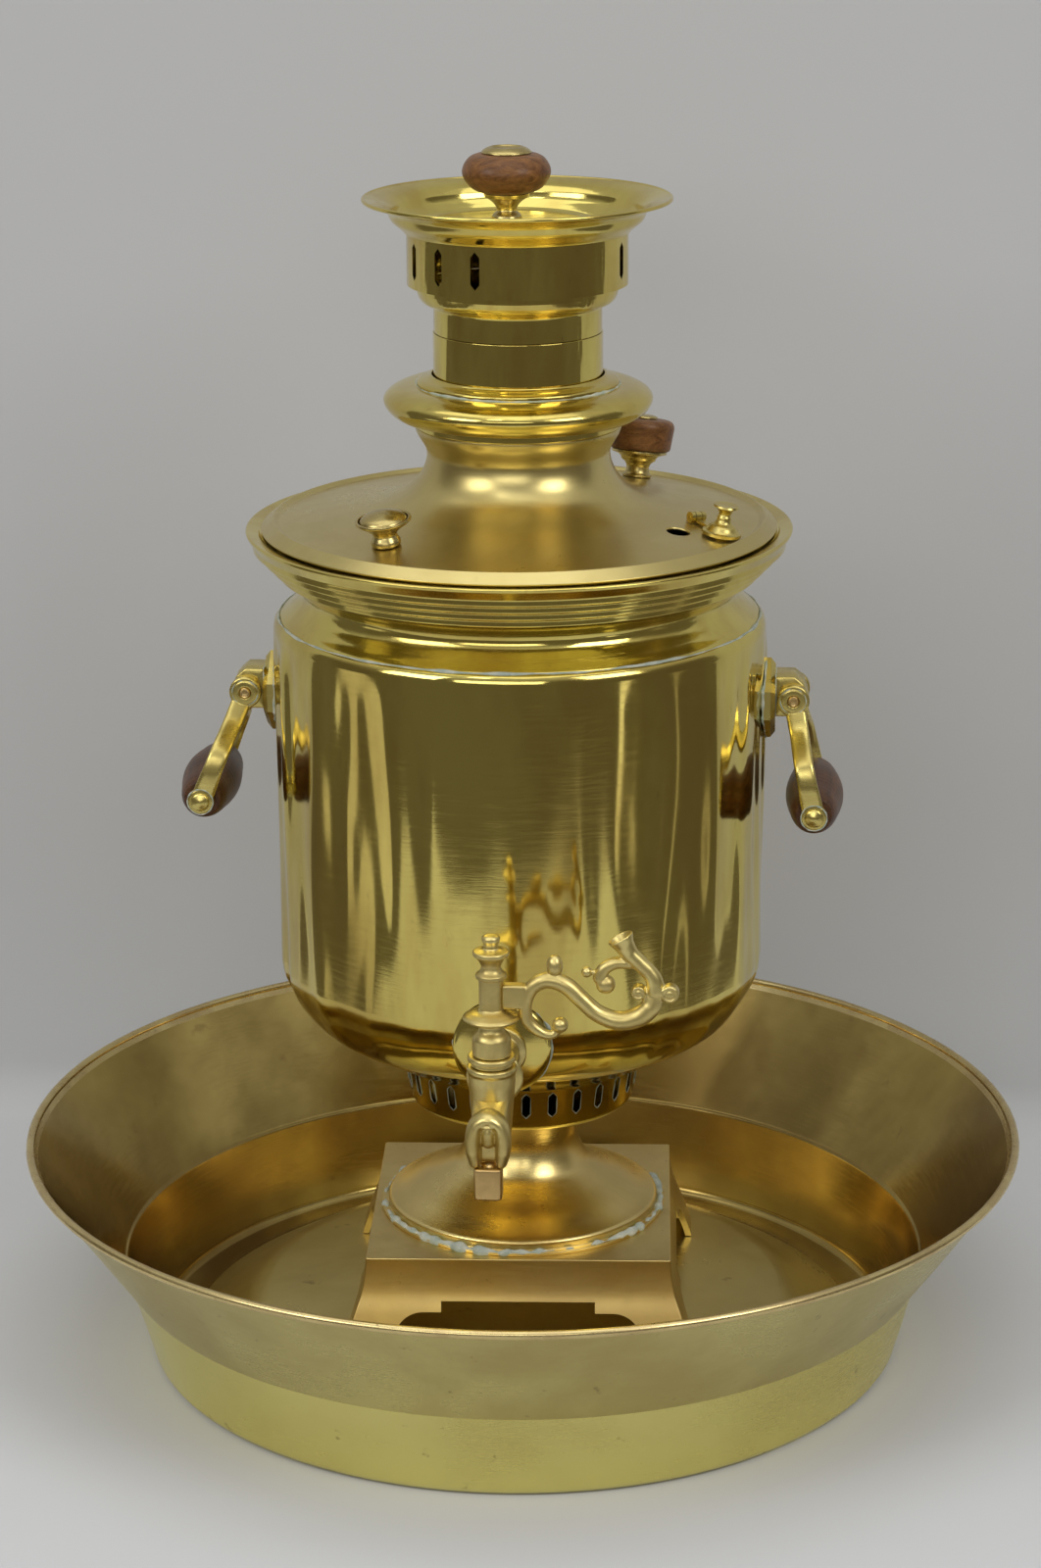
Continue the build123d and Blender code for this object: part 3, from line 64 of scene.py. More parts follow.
def shift(*way):
    """Move by a way."""
    return Matrix.Translation(way)


def lines_of(runs):
    """Points of each run, without its directions."""
    return [run[0] for run in runs]


# ---- outlines ----
def cubic(t, span, a, slope_a, b, slope_b):
    """The cubic from a to b at shares t of the span, with the given slopes at its ends."""
    return (
        (2 * t**3 - 3 * t**2 + 1) * a
        + (t**3 - 2 * t**2 + t) * span * slope_a
        + (3 * t**2 - 2 * t**3) * b
        + (t**3 - t**2) * span * slope_b
    )


def straight(a, b):
    """A straight run of an outline, with the directions in which it leaves and arrives."""
    way = np.subtract(b, a)
    return np.array([a, b], float), way, way


def flowing(a, b, *shares, leave, arrive):
    """A smooth run from a to b. The shares place points part of the way across and up. Between
    neighbours it is the cubic with the given slopes at the ends and chord slopes inside."""
    a, b = np.array(a, float), np.array(b, float)
    p = np.vstack([a, *[a + (b - a) * np.array(share) for share in shares], b])
    chord = np.hypot(*np.diff(p, axis=0).T)
    slope = np.empty_like(p)
    slope[1:-1] = (p[2:] - p[:-2]) / (chord[1:] + chord[:-1])[:, None]
    slope[0] = np.divide(leave, np.hypot(*leave))
    slope[-1] = np.divide(arrive, np.hypot(*arrive))
    t = np.linspace(0, 1, SAMPLES, endpoint=False)[None, :, None]
    rows = cubic(t, chord[:, None, None], p[:-1, None], slope[:-1, None], p[1:, None], slope[1:, None])
    return np.vstack([rows.reshape(-1, 2), p[-1:]]), np.array(leave, float), np.array(arrive, float)


def route(start, *steps):
    """Runs from point to point. A step is the next point, for a straight run, or a tuple of the next
    point, any shares, and the directions of leaving and arriving, for a flowing one."""
    runs = []
    for step in steps:
        if np.ndim(step[0]):
            point, *shares, leave, arrive = step
            runs.append(flowing(start, point, *shares, leave=leave, arrive=arrive))
        else:
            point = step
            runs.append(straight(start, point))
        start = point
    return runs


def left_of(way):
    """Unit vectors to the left of directions."""
    way = np.atleast_2d(way)
    return np.stack([-way[:, 1], way[:, 0]], 1) / np.hypot(way[:, 0], way[:, 1])[:, None]


def moved_left(runs, wall):
    """The runs moved to the left by the wall. A point moves square to the run, and where two runs
    meet, along the bisector, by the wall over the cosine of half the turn."""
    moved = []
    for index, (p, leave, arrive) in enumerate(runs):
        before = runs[index - 1][2] if index else leave
        after = runs[index + 1][1] if index + 1 < len(runs) else arrive
        chord = np.diff(p, axis=0)
        ways_in = np.vstack([before, chord[:-1], arrive])
        ways_out = np.vstack([leave, chord[1:], after])
        a, b = left_of(ways_in), left_of(ways_out)
        move = (a + b) * (wall / (1 + (a * b).sum(1)))[:, None]
        moved.append((p + move, leave, arrive))
    return moved


def along(p, at):
    """Points at the given lengths along a polyline."""
    length = np.concatenate([[0], np.cumsum(np.hypot(*np.diff(p, axis=0).T))])
    return np.stack([np.interp(at, length, p[:, 0]), np.interp(at, length, p[:, 1])], 1), length[-1]


def softened(chains, radius=0.4, spacing=1.8, closed=True):
    """One outline from chains of points laid end to end. Where two chains meet, both stop short of
    the corner by the radius, and a parabola through the corner's control point joins them."""
    trimmed = []
    for index, p in enumerate(chains):
        total = along(p, [0])[1]
        cut = min(radius, 0.35 * total)
        low = cut if (closed or index) else 0
        high = total - (cut if (closed or index + 1 < len(chains)) else 0)
        count = max(2, int(math.ceil((high - low) / spacing)) + 1)
        at = np.linspace(low, high, count)
        if high - low > 1.0:
            at = np.unique(np.concatenate([at, [low + 0.3, high - 0.3]]))
        trimmed.append(along(p, at)[0])
    rows = []
    t = np.array([0.2, 0.4, 0.6, 0.8])[:, None]
    for index, p in enumerate(trimmed):
        rows.append(p)
        if closed or index + 1 < len(trimmed):
            q = trimmed[(index + 1) % len(trimmed)]
            corner = chains[index][-1]
            rows.append((1 - t) ** 2 * p[-1] + 2 * t * (1 - t) * corner + t**2 * q[0])
    return np.vstack(rows)


def sheet(runs, wall, radius=0.4, spacing=1.8):
    """Outline of a sheet that lies to the left of its runs, thick as the wall, both its ends square."""
    inner = moved_left(runs, wall)
    outside = lines_of(runs)
    inside = [line[::-1] for line in lines_of(inner)[::-1]]
    ends = [np.array([outside[-1][-1], inside[0][0]]), np.array([inside[-1][-1], outside[0][0]])]
    return softened([*outside, ends[0], *inside, ends[1]], radius, spacing)


def closed(runs, radius=0.4, spacing=1.8):
    """Outline enclosed by runs and a straight closing line."""
    chains = lines_of(runs)
    chains.append(np.array([chains[-1][-1], chains[0][0]]))
    return softened(chains, radius, spacing)


def solid_runs(runs, radius=0.4, spacing=1.8):
    """Open outline of a solid turned piece from runs, from the axis below to the axis above."""
    return softened(lines_of(runs), radius, spacing, closed=False)


# ---- meshes ----
def grid_faces(rows, columns, wrap_rows, wrap_columns):
    """Four-sided faces between neighbouring points of a grid, joined round where it wraps."""
    i = np.arange(rows if wrap_rows else rows - 1)
    j = np.arange(columns if wrap_columns else columns - 1)
    i, j = np.meshgrid(i, j, indexing="ij")
    a = i * columns + j
    b = i * columns + (j + 1) % columns
    c = ((i + 1) % rows) * columns + (j + 1) % columns
    d = ((i + 1) % rows) * columns + j
    return np.stack([a, b, c, d], -1).reshape(-1, 4)


def linked(name, mesh):
    """An object in the scene with a smoothly shaded mesh."""
    mesh.shade_smooth()
    piece = bpy.data.objects.new(name, mesh)
    bpy.context.collection.objects.link(piece)
    return piece


def make_piece(name, parts):
    """One mesh object from grids given as (points, wrap_rows, wrap_columns), in millimetres.
    Rings that shrink to a point are closed, and faces are turned outwards."""
    vertices, faces, start = [], [], 0
    for points, wrap_rows, wrap_columns in parts:
        rows, columns = points.shape[:2]
        vertices.append(points.reshape(-1, 3) * MM)
        faces.append(grid_faces(rows, columns, wrap_rows, wrap_columns) + start)
        start += rows * columns
    mesh = bpy.data.meshes.new(name)
    mesh.from_pydata(np.vstack(vertices), [], np.vstack(faces).tolist())
    work = bmesh.new()
    work.from_mesh(mesh)
    bmesh.ops.remove_doubles(work, verts=work.verts, dist=1e-7)
    bmesh.ops.recalc_face_normals(work, faces=work.faces)
    work.to_mesh(mesh)
    work.free()
    return linked(name, mesh)


def turned(outline, turns, wave=None):
    """Grid of an outline turned about an upright axis: point (i, j) lies at the outline's radius i
    and height i, at angle j round from the front; a wave adds to the radius."""
    angle = full_turn(turns)
    r, a = np.meshgrid(outline[:, 0], angle, indexing="ij")
    z = np.repeat(outline[:, 1][:, None], turns, 1)
    if wave is not None:
        r = r + np.where(r > 0.01, wave(r, a, z), 0)
    return np.stack([r * np.sin(a), -r * np.cos(a), z], -1)


def turned_part(outline, turns, wave=None, solid=False):
    """A turned grid with the way it wraps: a closed outline wraps both ways, a solid one round only."""
    return turned(outline, turns, wave), not solid, True


def moved_points(points, matrix):
    """Points moved by a matrix given in millimetres."""
    m = np.array(matrix)
    return points @ m[:3, :3].T + m[:3, 3]


def solid_part(runs, radius, spacing, turns):
    """A solid turned piece."""
    return turned_part(solid_runs(runs, radius, spacing), turns, solid=True)


def placed(part, matrix):
    """A grid moved by a matrix."""
    return moved_points(part[0], matrix), *part[1:]


def smooth_path(points, count):
    """Even steps along a smooth curve through the points, each coordinate a cubic of the chord length
    with slopes taken across the neighbours."""
    p = np.array(points, float)
    chord = np.linalg.norm(np.diff(p, axis=0), axis=1)
    slope = np.empty_like(p)
    slope[1:-1] = (p[2:] - p[:-2]) / (chord[1:] + chord[:-1])[:, None]
    slope[0] = (p[1] - p[0]) / chord[0]
    slope[-1] = (p[-1] - p[-2]) / chord[-1]
    s = np.concatenate([[0], np.cumsum(chord)])
    at = np.linspace(0, s[-1], count)
    k = np.clip(np.searchsorted(s, at, side="right") - 1, 0, len(chord) - 1)
    t = ((at - s[k]) / chord[k])[:, None]
    return cubic(t, chord[k][:, None], p[k], slope[k], p[k + 1], slope[k + 1])


def bar_part(points, radii, side=(0, 1, 0), flatness=1.0, count=72, turns=28, square=1.0):
    """Round bar along a path in one plane. At each step a ring stands square to the path, its radius
    read between the given ones; both ends close in a half ball. Flatness scales it across the plane,
    and a power under one squares its section."""
    path = smooth_path(points, count)
    step = np.concatenate([[0], np.cumsum(np.linalg.norm(np.diff(points, axis=0), axis=1))])
    radius = np.interp(np.linspace(0, step[-1], count), step, radii)
    way = np.gradient(path, axis=0)
    way /= np.linalg.norm(way, axis=1)[:, None]
    across = np.cross(way, side)
    across /= np.linalg.norm(across, axis=1)[:, None]
    t = np.linspace(0, np.pi / 2, 7)[1:]
    head = path[0] - np.outer(np.sin(t[::-1]), way[0]) * radius[0]
    tail = path[-1] + np.outer(np.sin(t), way[-1]) * radius[-1]
    centre = np.vstack([head, path, tail])
    size = np.concatenate([np.cos(t[::-1]) * radius[0], radius, np.cos(t) * radius[-1]])
    across = np.vstack([np.repeat(across[:1], 6, 0), across, np.repeat(across[-1:], 6, 0)])
    angle = full_turn(turns)
    c, d = np.cos(angle), np.sin(angle)
    c, d = np.sign(c) * np.abs(c) ** square, np.sign(d) * np.abs(d) ** square
    ring = c[None, :, None] * across[:, None, :]
    ring = ring + flatness * d[None, :, None] * np.array(side, float)[None, None, :]
    return centre[:, None, :] + size[:, None, None] * ring, False, True


def ball_part(centre, size):
    """A ball, or an egg with three half lengths."""
    size = np.broadcast_to(size, 3)
    up = np.linspace(-np.pi / 2, np.pi / 2, 19)
    angle = full_turn(28)
    u, a = np.meshgrid(up, angle, indexing="ij")
    unit = np.stack([np.cos(u) * np.cos(a), np.cos(u) * np.sin(a), np.sin(u)], -1)
    return np.array(centre) + unit * size, False, True


def finish_piece(piece, body, slot_name, material, *nodes):
    """Gives a piece its material and body, and lets it stand for CAD nodes; the slot name is not used."""
    piece.data.materials.clear()
    piece.data.materials.append(material)
    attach(piece, body)
    if nodes:
        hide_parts(*nodes)


def add(name, parts, *looks):
    """A piece made of grids, with its body, material and CAD nodes."""
    finish_piece(make_piece(name, parts), *looks)


def settled(piece):
    """Replaces a piece's mesh by what its modifiers make of it."""
    graph = bpy.context.evaluated_depsgraph_get()
    mesh = bpy.data.meshes.new_from_object(piece.evaluated_get(graph))
    piece.modifiers.clear()
    piece.data = mesh
    mesh.shade_smooth()
    return piece


def cut_by(piece, drill):
    """Cuts a solid out of a piece and removes the solid."""
    cut = piece.modifiers.new("opening", "BOOLEAN")
    cut.operation, cut.solver, cut.object = "DIFFERENCE", "MANIFOLD", drill
    settled(piece)
    bpy.data.objects.remove(drill)


# ---- shader tools ----
SOCKETS = {1: "NodeSocketFloat", 3: "NodeSocketVector", 4: "NodeSocketColor"}
SCRATCH_DEPTH = 0.00001


def node(tree, kind, values=None, **settings):
    """A node with its settings. An input is given a value, or the output of another node to follow."""
    made = tree.nodes.new(kind)
    for key, value in settings.items():
        setattr(made, key, value)
    for key, value in (values or {}).items():
        if isinstance(value, bpy.types.NodeSocket):
            tree.links.new(value, made.inputs[key])
        else:
            made.inputs[key].default_value = value
    return made


def new_group(name, inputs, outputs):
    """A shader node group and the sockets of its inputs; how many numbers an input's starting value
    has tells its kind."""
    group = bpy.data.node_groups.new(name, "ShaderNodeTree")
    for label, value in {"Vector": (0.0, 0.0, 0.0), **inputs}.items():
        kind = SOCKETS[np.size(value)]
        group.interface.new_socket(name=label, in_out="INPUT", socket_type=kind).default_value = value
    for label in outputs:
        kind = SOCKETS[4 if label == "Color" else 1]
        group.interface.new_socket(name=label, in_out="OUTPUT", socket_type=kind)
    return group, node(group, "NodeGroupInput").outputs


def times(tree, a, b, clamp=False):
    """Product of two values."""
    return node(tree, "ShaderNodeMath", {0: a, 1: b}, operation="MULTIPLY", use_clamp=clamp).outputs[0]


def scaled(tree, where, by):
    """Coordinates times a vector."""
    return node(tree, "ShaderNodeVectorMath", {0: where, 1: by}, operation="MULTIPLY").outputs[0]


def noise(tree, where, scale, detail, roughness, distortion=0.0):
    """Cloudy noise at a place."""
    values = {"Vector": where, "Scale": scale, "Detail": detail}
    values.update({"Roughness": roughness, "Distortion": distortion})
    return node(tree, "ShaderNodeTexNoise", values).outputs["Fac"]


def spread(tree, value, low, high, curve="LINEAR"):
    """A value stretched from between low and high to between 0 and 1."""
    values = {"Value": value, "From Min": low, "From Max": high}
    return node(tree, "ShaderNodeMapRange", values, interpolation_type=curve).outputs["Result"]


def onto(tree, value, low, high):
    """A value between 0 and 1 stretched to between low and high."""
    values = {"Value": value, "To Min": low, "To Max": high}
    return node(tree, "ShaderNodeMapRange", values).outputs["Result"]


def blend(tree, share, a, b):
    """Colour a turned into colour b by a share."""
    return node(
        tree, "ShaderNodeMix", {"Factor": share, "A": a, "B": b}, data_type="RGBA",
    ).outputs["Result"]


def bump(tree, height, distance, **under):
    """Normal of a height, over another normal where one is given."""
    values = {"Strength": 1.0, "Distance": distance, "Height": height, **under}
    return node(tree, "ShaderNodeBump", values).outputs["Normal"]


def make_ripple_group():
    """Waves of hand-smoothed sheet: two noises, drawn out along Z, added as one height."""
    group, given = new_group("sheet_ripple", {"Width": 40.0, "Upright": 0.3, "Fine": 0.3}, ["Height"])
    drawn_out = node(group, "ShaderNodeCombineXYZ", {"X": 1.0, "Y": 1.0, "Z": given["Upright"]}).outputs[0]
    place = scaled(group, given["Vector"], drawn_out)
    broad = noise(group, place, given["Width"], 1.0, 0.4, 0.4)
    fine = noise(group, place, times(group, given["Width"], 3.1), 2.0, 0.5)
    both = node(group, "ShaderNodeMath", {0: fine, 1: given["Fine"], 2: broad}, operation="MULTIPLY_ADD")
    node(group, "NodeGroupOutput", {"Height": both.outputs[0]})
    return group


def make_tarnish_group():
    """Brass that is rubbed bright in places and brown in others, with small dark stains."""
    colours = {"Bright": (0.8, 0.66, 0.22, 1), "Dull": (0.5, 0.36, 0.1, 1), "Stain": (0.16, 0.08, 0.04, 1)}
    amounts = {"Size": 12.0, "Dullness": 0.4, "Stains": 0.2}
    group, given = new_group("tarnish", {**colours, **amounts}, ["Color", "Mask"])
    cloud = noise(group, given["Vector"], given["Size"], 5.0, 0.6, 0.3)
    amount = times(group, spread(group, cloud, 0.32, 0.68, "SMOOTHSTEP"), given["Dullness"], True)
    tone = blend(group, amount, given["Bright"], given["Dull"])
    spots = noise(group, given["Vector"], times(group, given["Size"], 9.0), 3.0, 0.65)
    few = times(group, spread(group, spots, 0.66, 0.74, "SMOOTHSTEP"), given["Stains"], True)
    total = node(group, "ShaderNodeMath", {0: amount, 1: few}, operation="MAXIMUM").outputs[0]
    node(group, "NodeGroupOutput", {"Color": blend(group, few, tone, given["Stain"]), "Mask": total})
    return group


def make_rub_group():
    """Fine rubbing marks: noise drawn out long along the surface, as a height and as a mask."""
    group, given = new_group("rubbing", {"Stretch": (60.0, 60.0, 900.0)}, ["Height", "Mask"])
    marks = noise(group, scaled(group, given["Vector"], given["Stretch"]), 1.0, 4.0, 0.7)
    node(group, "NodeGroupOutput", {"Height": marks, "Mask": spread(group, marks, 0.45, 0.75)})
    return group


def make_grain_group():
    """Wood grain: bands of noise pulled out along the turning axis, with fine pores."""
    group, given = new_group("wood_grain", {"Stretch": (1.0, 0.12, 1.0), "Size": 260.0}, ["Grain", "Pores"])
    place = scaled(group, given["Vector"], given["Stretch"])
    bands = noise(group, place, given["Size"], 4.0, 0.6, 1.2)
    pores = noise(group, place, times(group, given["Size"], 7.0), 3.0, 0.7)
    node(group, "NodeGroupOutput", {"Grain": bands, "Pores": spread(group, pores, 0.5, 0.72)})
    return group


ripple = make_ripple_group()
tarnish = make_tarnish_group()
rubbing = make_rub_group()
grain = make_grain_group()


def use(tree, group, where, values):
    """Outputs of a node group that is placed in a material and fed with coordinates."""
    return node(tree, "ShaderNodeGroup", {"Vector": where, **values}, node_tree=group).outputs


def start_material(name):
    """An empty material with its node tree and object coordinates."""
    material = bpy.data.materials.new(name)
    material.use_nodes = True
    tree = material.node_tree
    tree.nodes.clear()
    return material, tree, node(tree, "ShaderNodeTexCoord").outputs["Object"]


def shade(tree, values):
    """The surface of a material."""
    shader = node(tree, "ShaderNodeBsdfPrincipled", values)
    node(tree, "ShaderNodeOutputMaterial", {"Surface": shader.outputs[0]})


def tones(bright, dull, size, dullness, **others):
    """Inputs of the tarnish group."""
    return {"Bright": (*bright, 1), "Dull": (*dull, 1), "Size": size, "Dullness": dullness, **others}


def brass(
    name, bright, dull, size, dullness, stains, polish,
    waves=0.0, width=40.0, upright=0.3, fine=0.25, streak=1.0,
):
    """Brass with tarnish, rubbing marks and, on sheet, the waves of hand work. A streak under one draws
    the tarnish out upright."""
    material, tree, where = start_material(name)
    drawn = scaled(tree, where, (1.0, 1.0, streak))
    tone = use(tree, tarnish, drawn, tones(bright, dull, size, dullness, Stains=stains))
    marks = use(tree, rubbing, where, {})
    worn = node(
        tree, "ShaderNodeMath", {0: marks["Mask"], 1: 0.55, 2: tone["Mask"]}, operation="MULTIPLY_ADD",
    )
    under = {}
    if waves:
        sheet_waves = use(tree, ripple, where, {"Width": width, "Upright": upright, "Fine": fine})
        under["Normal"] = bump(tree, sheet_waves["Height"], waves)
    shade(
        tree,
        {
            "Metallic": 1.0,
            "Base Color": tone["Color"],
            "Roughness": onto(tree, worn.outputs[0], *polish),
            "Normal": bump(tree, marks["Height"], SCRATCH_DEPTH, **under),
        },
    )
    return material


def wood(name, light, dark, stretch):
    """Turned and varnished wood with a fine grain along the turning axis."""
    material, tree, where = start_material(name)
    lines = use(tree, grain, where, {"Stretch": stretch})
    ramp = node(tree, "ShaderNodeValToRGB", {"Fac": lines["Grain"]})
    for stop, position, colour in zip(ramp.color_ramp.elements, (0.3, 0.68), (dark, light)):
        stop.position, stop.color = position, (*colour, 1)
    pore = (*[c * 0.35 for c in dark], 1)
    shade(
        tree,
        {
            "Base Color": blend(tree, times(tree, lines["Pores"], 0.55, True), ramp.outputs["Color"], pore),
            "Roughness": onto(tree, lines["Grain"], 0.3, 0.5),
            "Specular IOR Level": 0.25,
            "Coat Weight": 0.1,
            "Coat Roughness": 0.2,
            "Normal": bump(tree, lines["Grain"], 0.00008),
        },
    )
    return material


def crust(name, pale, green):
    """Dried solder and verdigris in a seam: rough, mottled pale and green."""
    material, tree, where = start_material(name)
    tone = use(tree, tarnish, where, tones(pale, green, 160.0, 0.9))
    relief = bump(tree, tone["Mask"], 0.0003)
    shade(tree, {"Base Color": tone["Color"], "Roughness": 0.8, "Normal": relief})
    return material


def soot(name):
    """Sooty iron."""
    material, tree, where = start_material(name)
    tone = use(tree, tarnish, where, tones((0.05, 0.04, 0.03), (0.02, 0.017, 0.014), 60.0, 0.9))
    shade(tree, {"Base Color": tone["Color"], "Roughness": 0.85})
    return material


BRIGHT = (0.80, 0.67, 0.19)
BROWN = (0.46, 0.30, 0.07)
polished = brass(
    "polished_brass", BRIGHT, BROWN, 22, 0.6, 0.15, (0.05, 0.18), 0.0002, 34.0, 0.3, 0.25, streak=0.3,
)
turned_brass = brass(
    "turned_brass", BRIGHT, (0.54, 0.37, 0.09), 30, 0.55, 0.2, (0.08, 0.24), 0.00012, 70.0, 0.4, 0.3,
    streak=0.4,
)
tube_brass = brass(
    "tube_brass", BRIGHT, (0.50, 0.33, 0.08), 40, 0.7, 0.2, (0.06, 0.2), 0.0012, 42.0, 0.12, 0.35,
    streak=0.25,
)
lid_brass = brass(
    "lid_brass", (0.72, 0.60, 0.25), (0.56, 0.44, 0.16), 14, 0.6, 0.06, (0.26, 0.36), 0.00001, 30.0, 1.0,
)
plinth_brass = brass(
    "plinth_brass", (0.80, 0.64, 0.27), (0.58, 0.43, 0.17), 18, 0.7, 0.25, (0.3, 0.44), 0.00003, 40.0, 1.0,
)
tap_brass = brass(
    "tap_brass", (0.84, 0.70, 0.28), (0.58, 0.45, 0.17), 50, 0.8, 0.4, (0.3, 0.44), 0.00005, 120.0, 1.0,
)
copper_brass = brass("copper_brass", (0.80, 0.57, 0.24), (0.50, 0.32, 0.13), 60, 0.7, 0.3, (0.24, 0.4))
handle_brass = brass(
    "handle_brass", (0.74, 0.61, 0.20), (0.50, 0.38, 0.12), 70, 0.5, 0.25, (0.24, 0.4), 0.00004, 120.0, 1.0,
)
basin_out = brass(
    "basin_brass_outside", (0.68, 0.60, 0.25), (0.50, 0.40, 0.15), 11, 0.75, 0.4, (0.24, 0.38), 0.00004,
    18.0, 0.6,
)
# painted reflection: a paler, yellower copy of the outside brass for the band below the waist crease,
# standing in for the bright floor that band reflects
basin_low_painted_reflection = brass(
    "basin_brass_low_painted_reflection", (0.92, 0.84, 0.32), (0.72, 0.60, 0.20), 9, 0.5, 0.4, (0.2, 0.34), 0.00004, 18.0, 0.6,
)
# painted light: a brighter copy of the inside brass for the up-facing floor of the basin, lighter than the
# inner walls
basin_floor_painted_light = brass("basin_brass_floor_painted_light", (0.76, 0.64, 0.26), (0.50, 0.39, 0.14), 6, 0.8, 0.4, (0.26, 0.42))
basin_rim = brass("basin_brass_rim", (0.80, 0.65, 0.30), (0.52, 0.37, 0.18), 40, 0.6, 0.5, (0.2, 0.36))
basin_in = brass(
    "basin_brass_inside", (0.64, 0.49, 0.16), (0.24, 0.15, 0.045), 6, 0.85, 0.3, (0.1, 0.26), 0.00006, 16.0,
    0.8,
)
pedestal_brass = brass(
    "pedestal_brass", (0.84, 0.67, 0.27), (0.62, 0.45, 0.17), 14, 0.6, 0.3, (0.26, 0.38), 0.00002, 40.0,
    1.0,
)
knob_brass = brass(
    "knob_brass", (0.64, 0.52, 0.21), (0.40, 0.30, 0.11), 90, 0.6, 0.3, (0.2, 0.38), 0.00004, 160.0, 1.0,
)
grip_wood = wood("grip_wood", (0.15, 0.065, 0.028), (0.04, 0.018, 0.01), (1.0, 0.12, 1.0))
knob_wood = wood("knob_wood", (0.28, 0.125, 0.04), (0.10, 0.04, 0.014), (0.25, 1.0, 1.0))
seam = crust("seam_crust", (0.60, 0.61, 0.52), (0.34, 0.42, 0.36))
sooty = soot("sooty_iron")


# ---- basin ----
def dents(height, count, low, high, narrow, tall, seed):
    """Shallow dents as a wave for a turned grid: each is a bell curve of angle and height, and all
    are added up. Low and high bound their heights, narrow and tall their sizes in millimetres."""
    local = np.random.default_rng(seed)
    at = local.uniform(0, 2 * np.pi, count)
    level = local.uniform(low, high, count)
    depth = local.normal(0, height, count)
    wide = local.uniform(0.6, 1.6, count) * narrow
    long = local.uniform(0.6, 1.6, count) * tall

    def wave(r, a, z):
        total = np.zeros_like(r)
        for one, lift, deep, across, up in zip(at, level, depth, wide, long):
            turn = np.angle(np.exp(1j * (a - one))) * r
            total += deep * np.exp(-((turn / across) ** 2) - ((z - lift) / up) ** 2)
        return total

    return wave


def planished(slope, few, many, low, high, seed):
    """Hand-smoothed sheet as a wave for a turned grid: a sum of cosines, each with a whole number of
    waves round the body and a long wave up it, its height its share of the slope over that number.
    The sum fades out towards the low and high edges over 12 mm, and is weaker in front and behind."""
    local = np.random.default_rng(seed)
    waves, fade = 40, 12
    number = local.integers(few, many, waves)
    rise = local.normal(0, 0.028, waves)
    start = local.uniform(0, 2 * np.pi, waves)
    share = local.normal(0, slope, waves) * 110 / math.sqrt(20) / number

    def wave(r, a, z):
        total = np.zeros_like(r)
        for n, up, first, tall in zip(number, rise, start, share):
            total += tall * np.cos(n * a + up * z + first)
        total = total * (0.4 + 0.6 * np.sin(a) ** 2)
        return total * np.clip((z - low) / fade, 0, 1) * np.clip((high - z) / fade, 0, 1)

    return wave


def make_basin():
    """Sheet basin: raised floor, channel, base, waist crease and flared wall, and a wire in the rim."""
    reach, height, wire = 229.0, 102.0, 2.0
    runs = route(
        (0, 20.0), (120, 20.0), ((164, 0.0), (0.5, 0.5), (1, 0), (1, 0)), (171, 0.0),
        ((176, 5.0), (1, 0), (0, 1)), (187, 43.0), (188.1, 43.3), (reach, height),
    )
    inner = moved_left(runs, THIN_WALL)
    edge = np.array([runs[-1][0][-1], inner[-1][0][-1]])
    chains = [*lines_of(runs), edge, *[line[::-1] for line in lines_of(inner)[::-1]]]
    outline = softened(chains, 0.9, 3.4, closed=False)
    wobble = dents(0.28, 46, 8, 100, 34, 22, 11)

    def wall_wave(r, a, z):
        return np.where(r > 172, wobble(r, a, z), 0)

    def rim_wave(r, a, z):
        return wobble(r, a, 100 + 0 * z)

    turn = full_turn(16)
    roll = np.stack([reach + wire * np.cos(turn), height + wire * np.sin(turn)], 1)
    parts = [turned_part(outline, 288, wall_wave, solid=True), turned_part(roll, 288, rim_wave)]
    piece = make_piece("basin_sheet", parts)
    finish_piece(piece, "basin", "basin_brass", basin_out, "basin")
    for material in (basin_in, basin_low_painted_reflection, basin_rim, basin_floor_painted_light):
        piece.data.materials.append(material)
    crease, rim, floor_reach = 0.0428, 0.0997, 0.158
    count = len(piece.data.polygons)
    centre, normal = np.empty((count, 3)), np.empty((count, 3))
    piece.data.polygons.foreach_get("center", centre.ravel())
    piece.data.polygons.foreach_get("normal", normal.ravel())
    inward = (centre[:, :2] * normal[:, :2]).sum(1) < 0
    inside = inward | (normal[:, 2] > 0.6)
    # outward faces below the crease take the low copy, whose paler colour is a painted reflection of the
    # floor
    index = np.where(inside, 1, np.where(centre[:, 2] < crease, 2, 0))
    index = np.where(centre[:, 2] > rim, 3, index)
    # inside faces near the middle take the floor copy, whose brighter colour is painted light
    index = np.where(inside & (np.hypot(*centre[:, :2].T) < floor_reach), 4, index)
    piece.data.polygons.foreach_set("material_index", index.astype(np.int32))


# ---- samovar body ----
def make_pedestal():
    """Domed foot: flange, edge, long hollow flank and neck."""
    z = PLINTH_TOP
    runs = route(
        (66.4, z + 1.5), (63.0, z + 1.5), (63.0, z + 4.3), ((61.0, z + 6.2), (0, 1), (-1, 0.2)),
        ((25.4, z + 37.2), (0.31, 0.17), (0.64, 0.36), (0.87, 0.58), (-1, 0.3), (0, 1)),
        ((28.5, VENT_BASE), (0, 1), (0.25, 1)), (12.7, VENT_BASE),
    )
    part = turned_part(sheet(runs, BODY_WALL, 0.5), 256, dents(0.04, 24, z, z + 45, 16, 10, 3))
    add("pedestal_dome", [part], "samovar", "polished_brass", pedestal_brass, "pedestal")


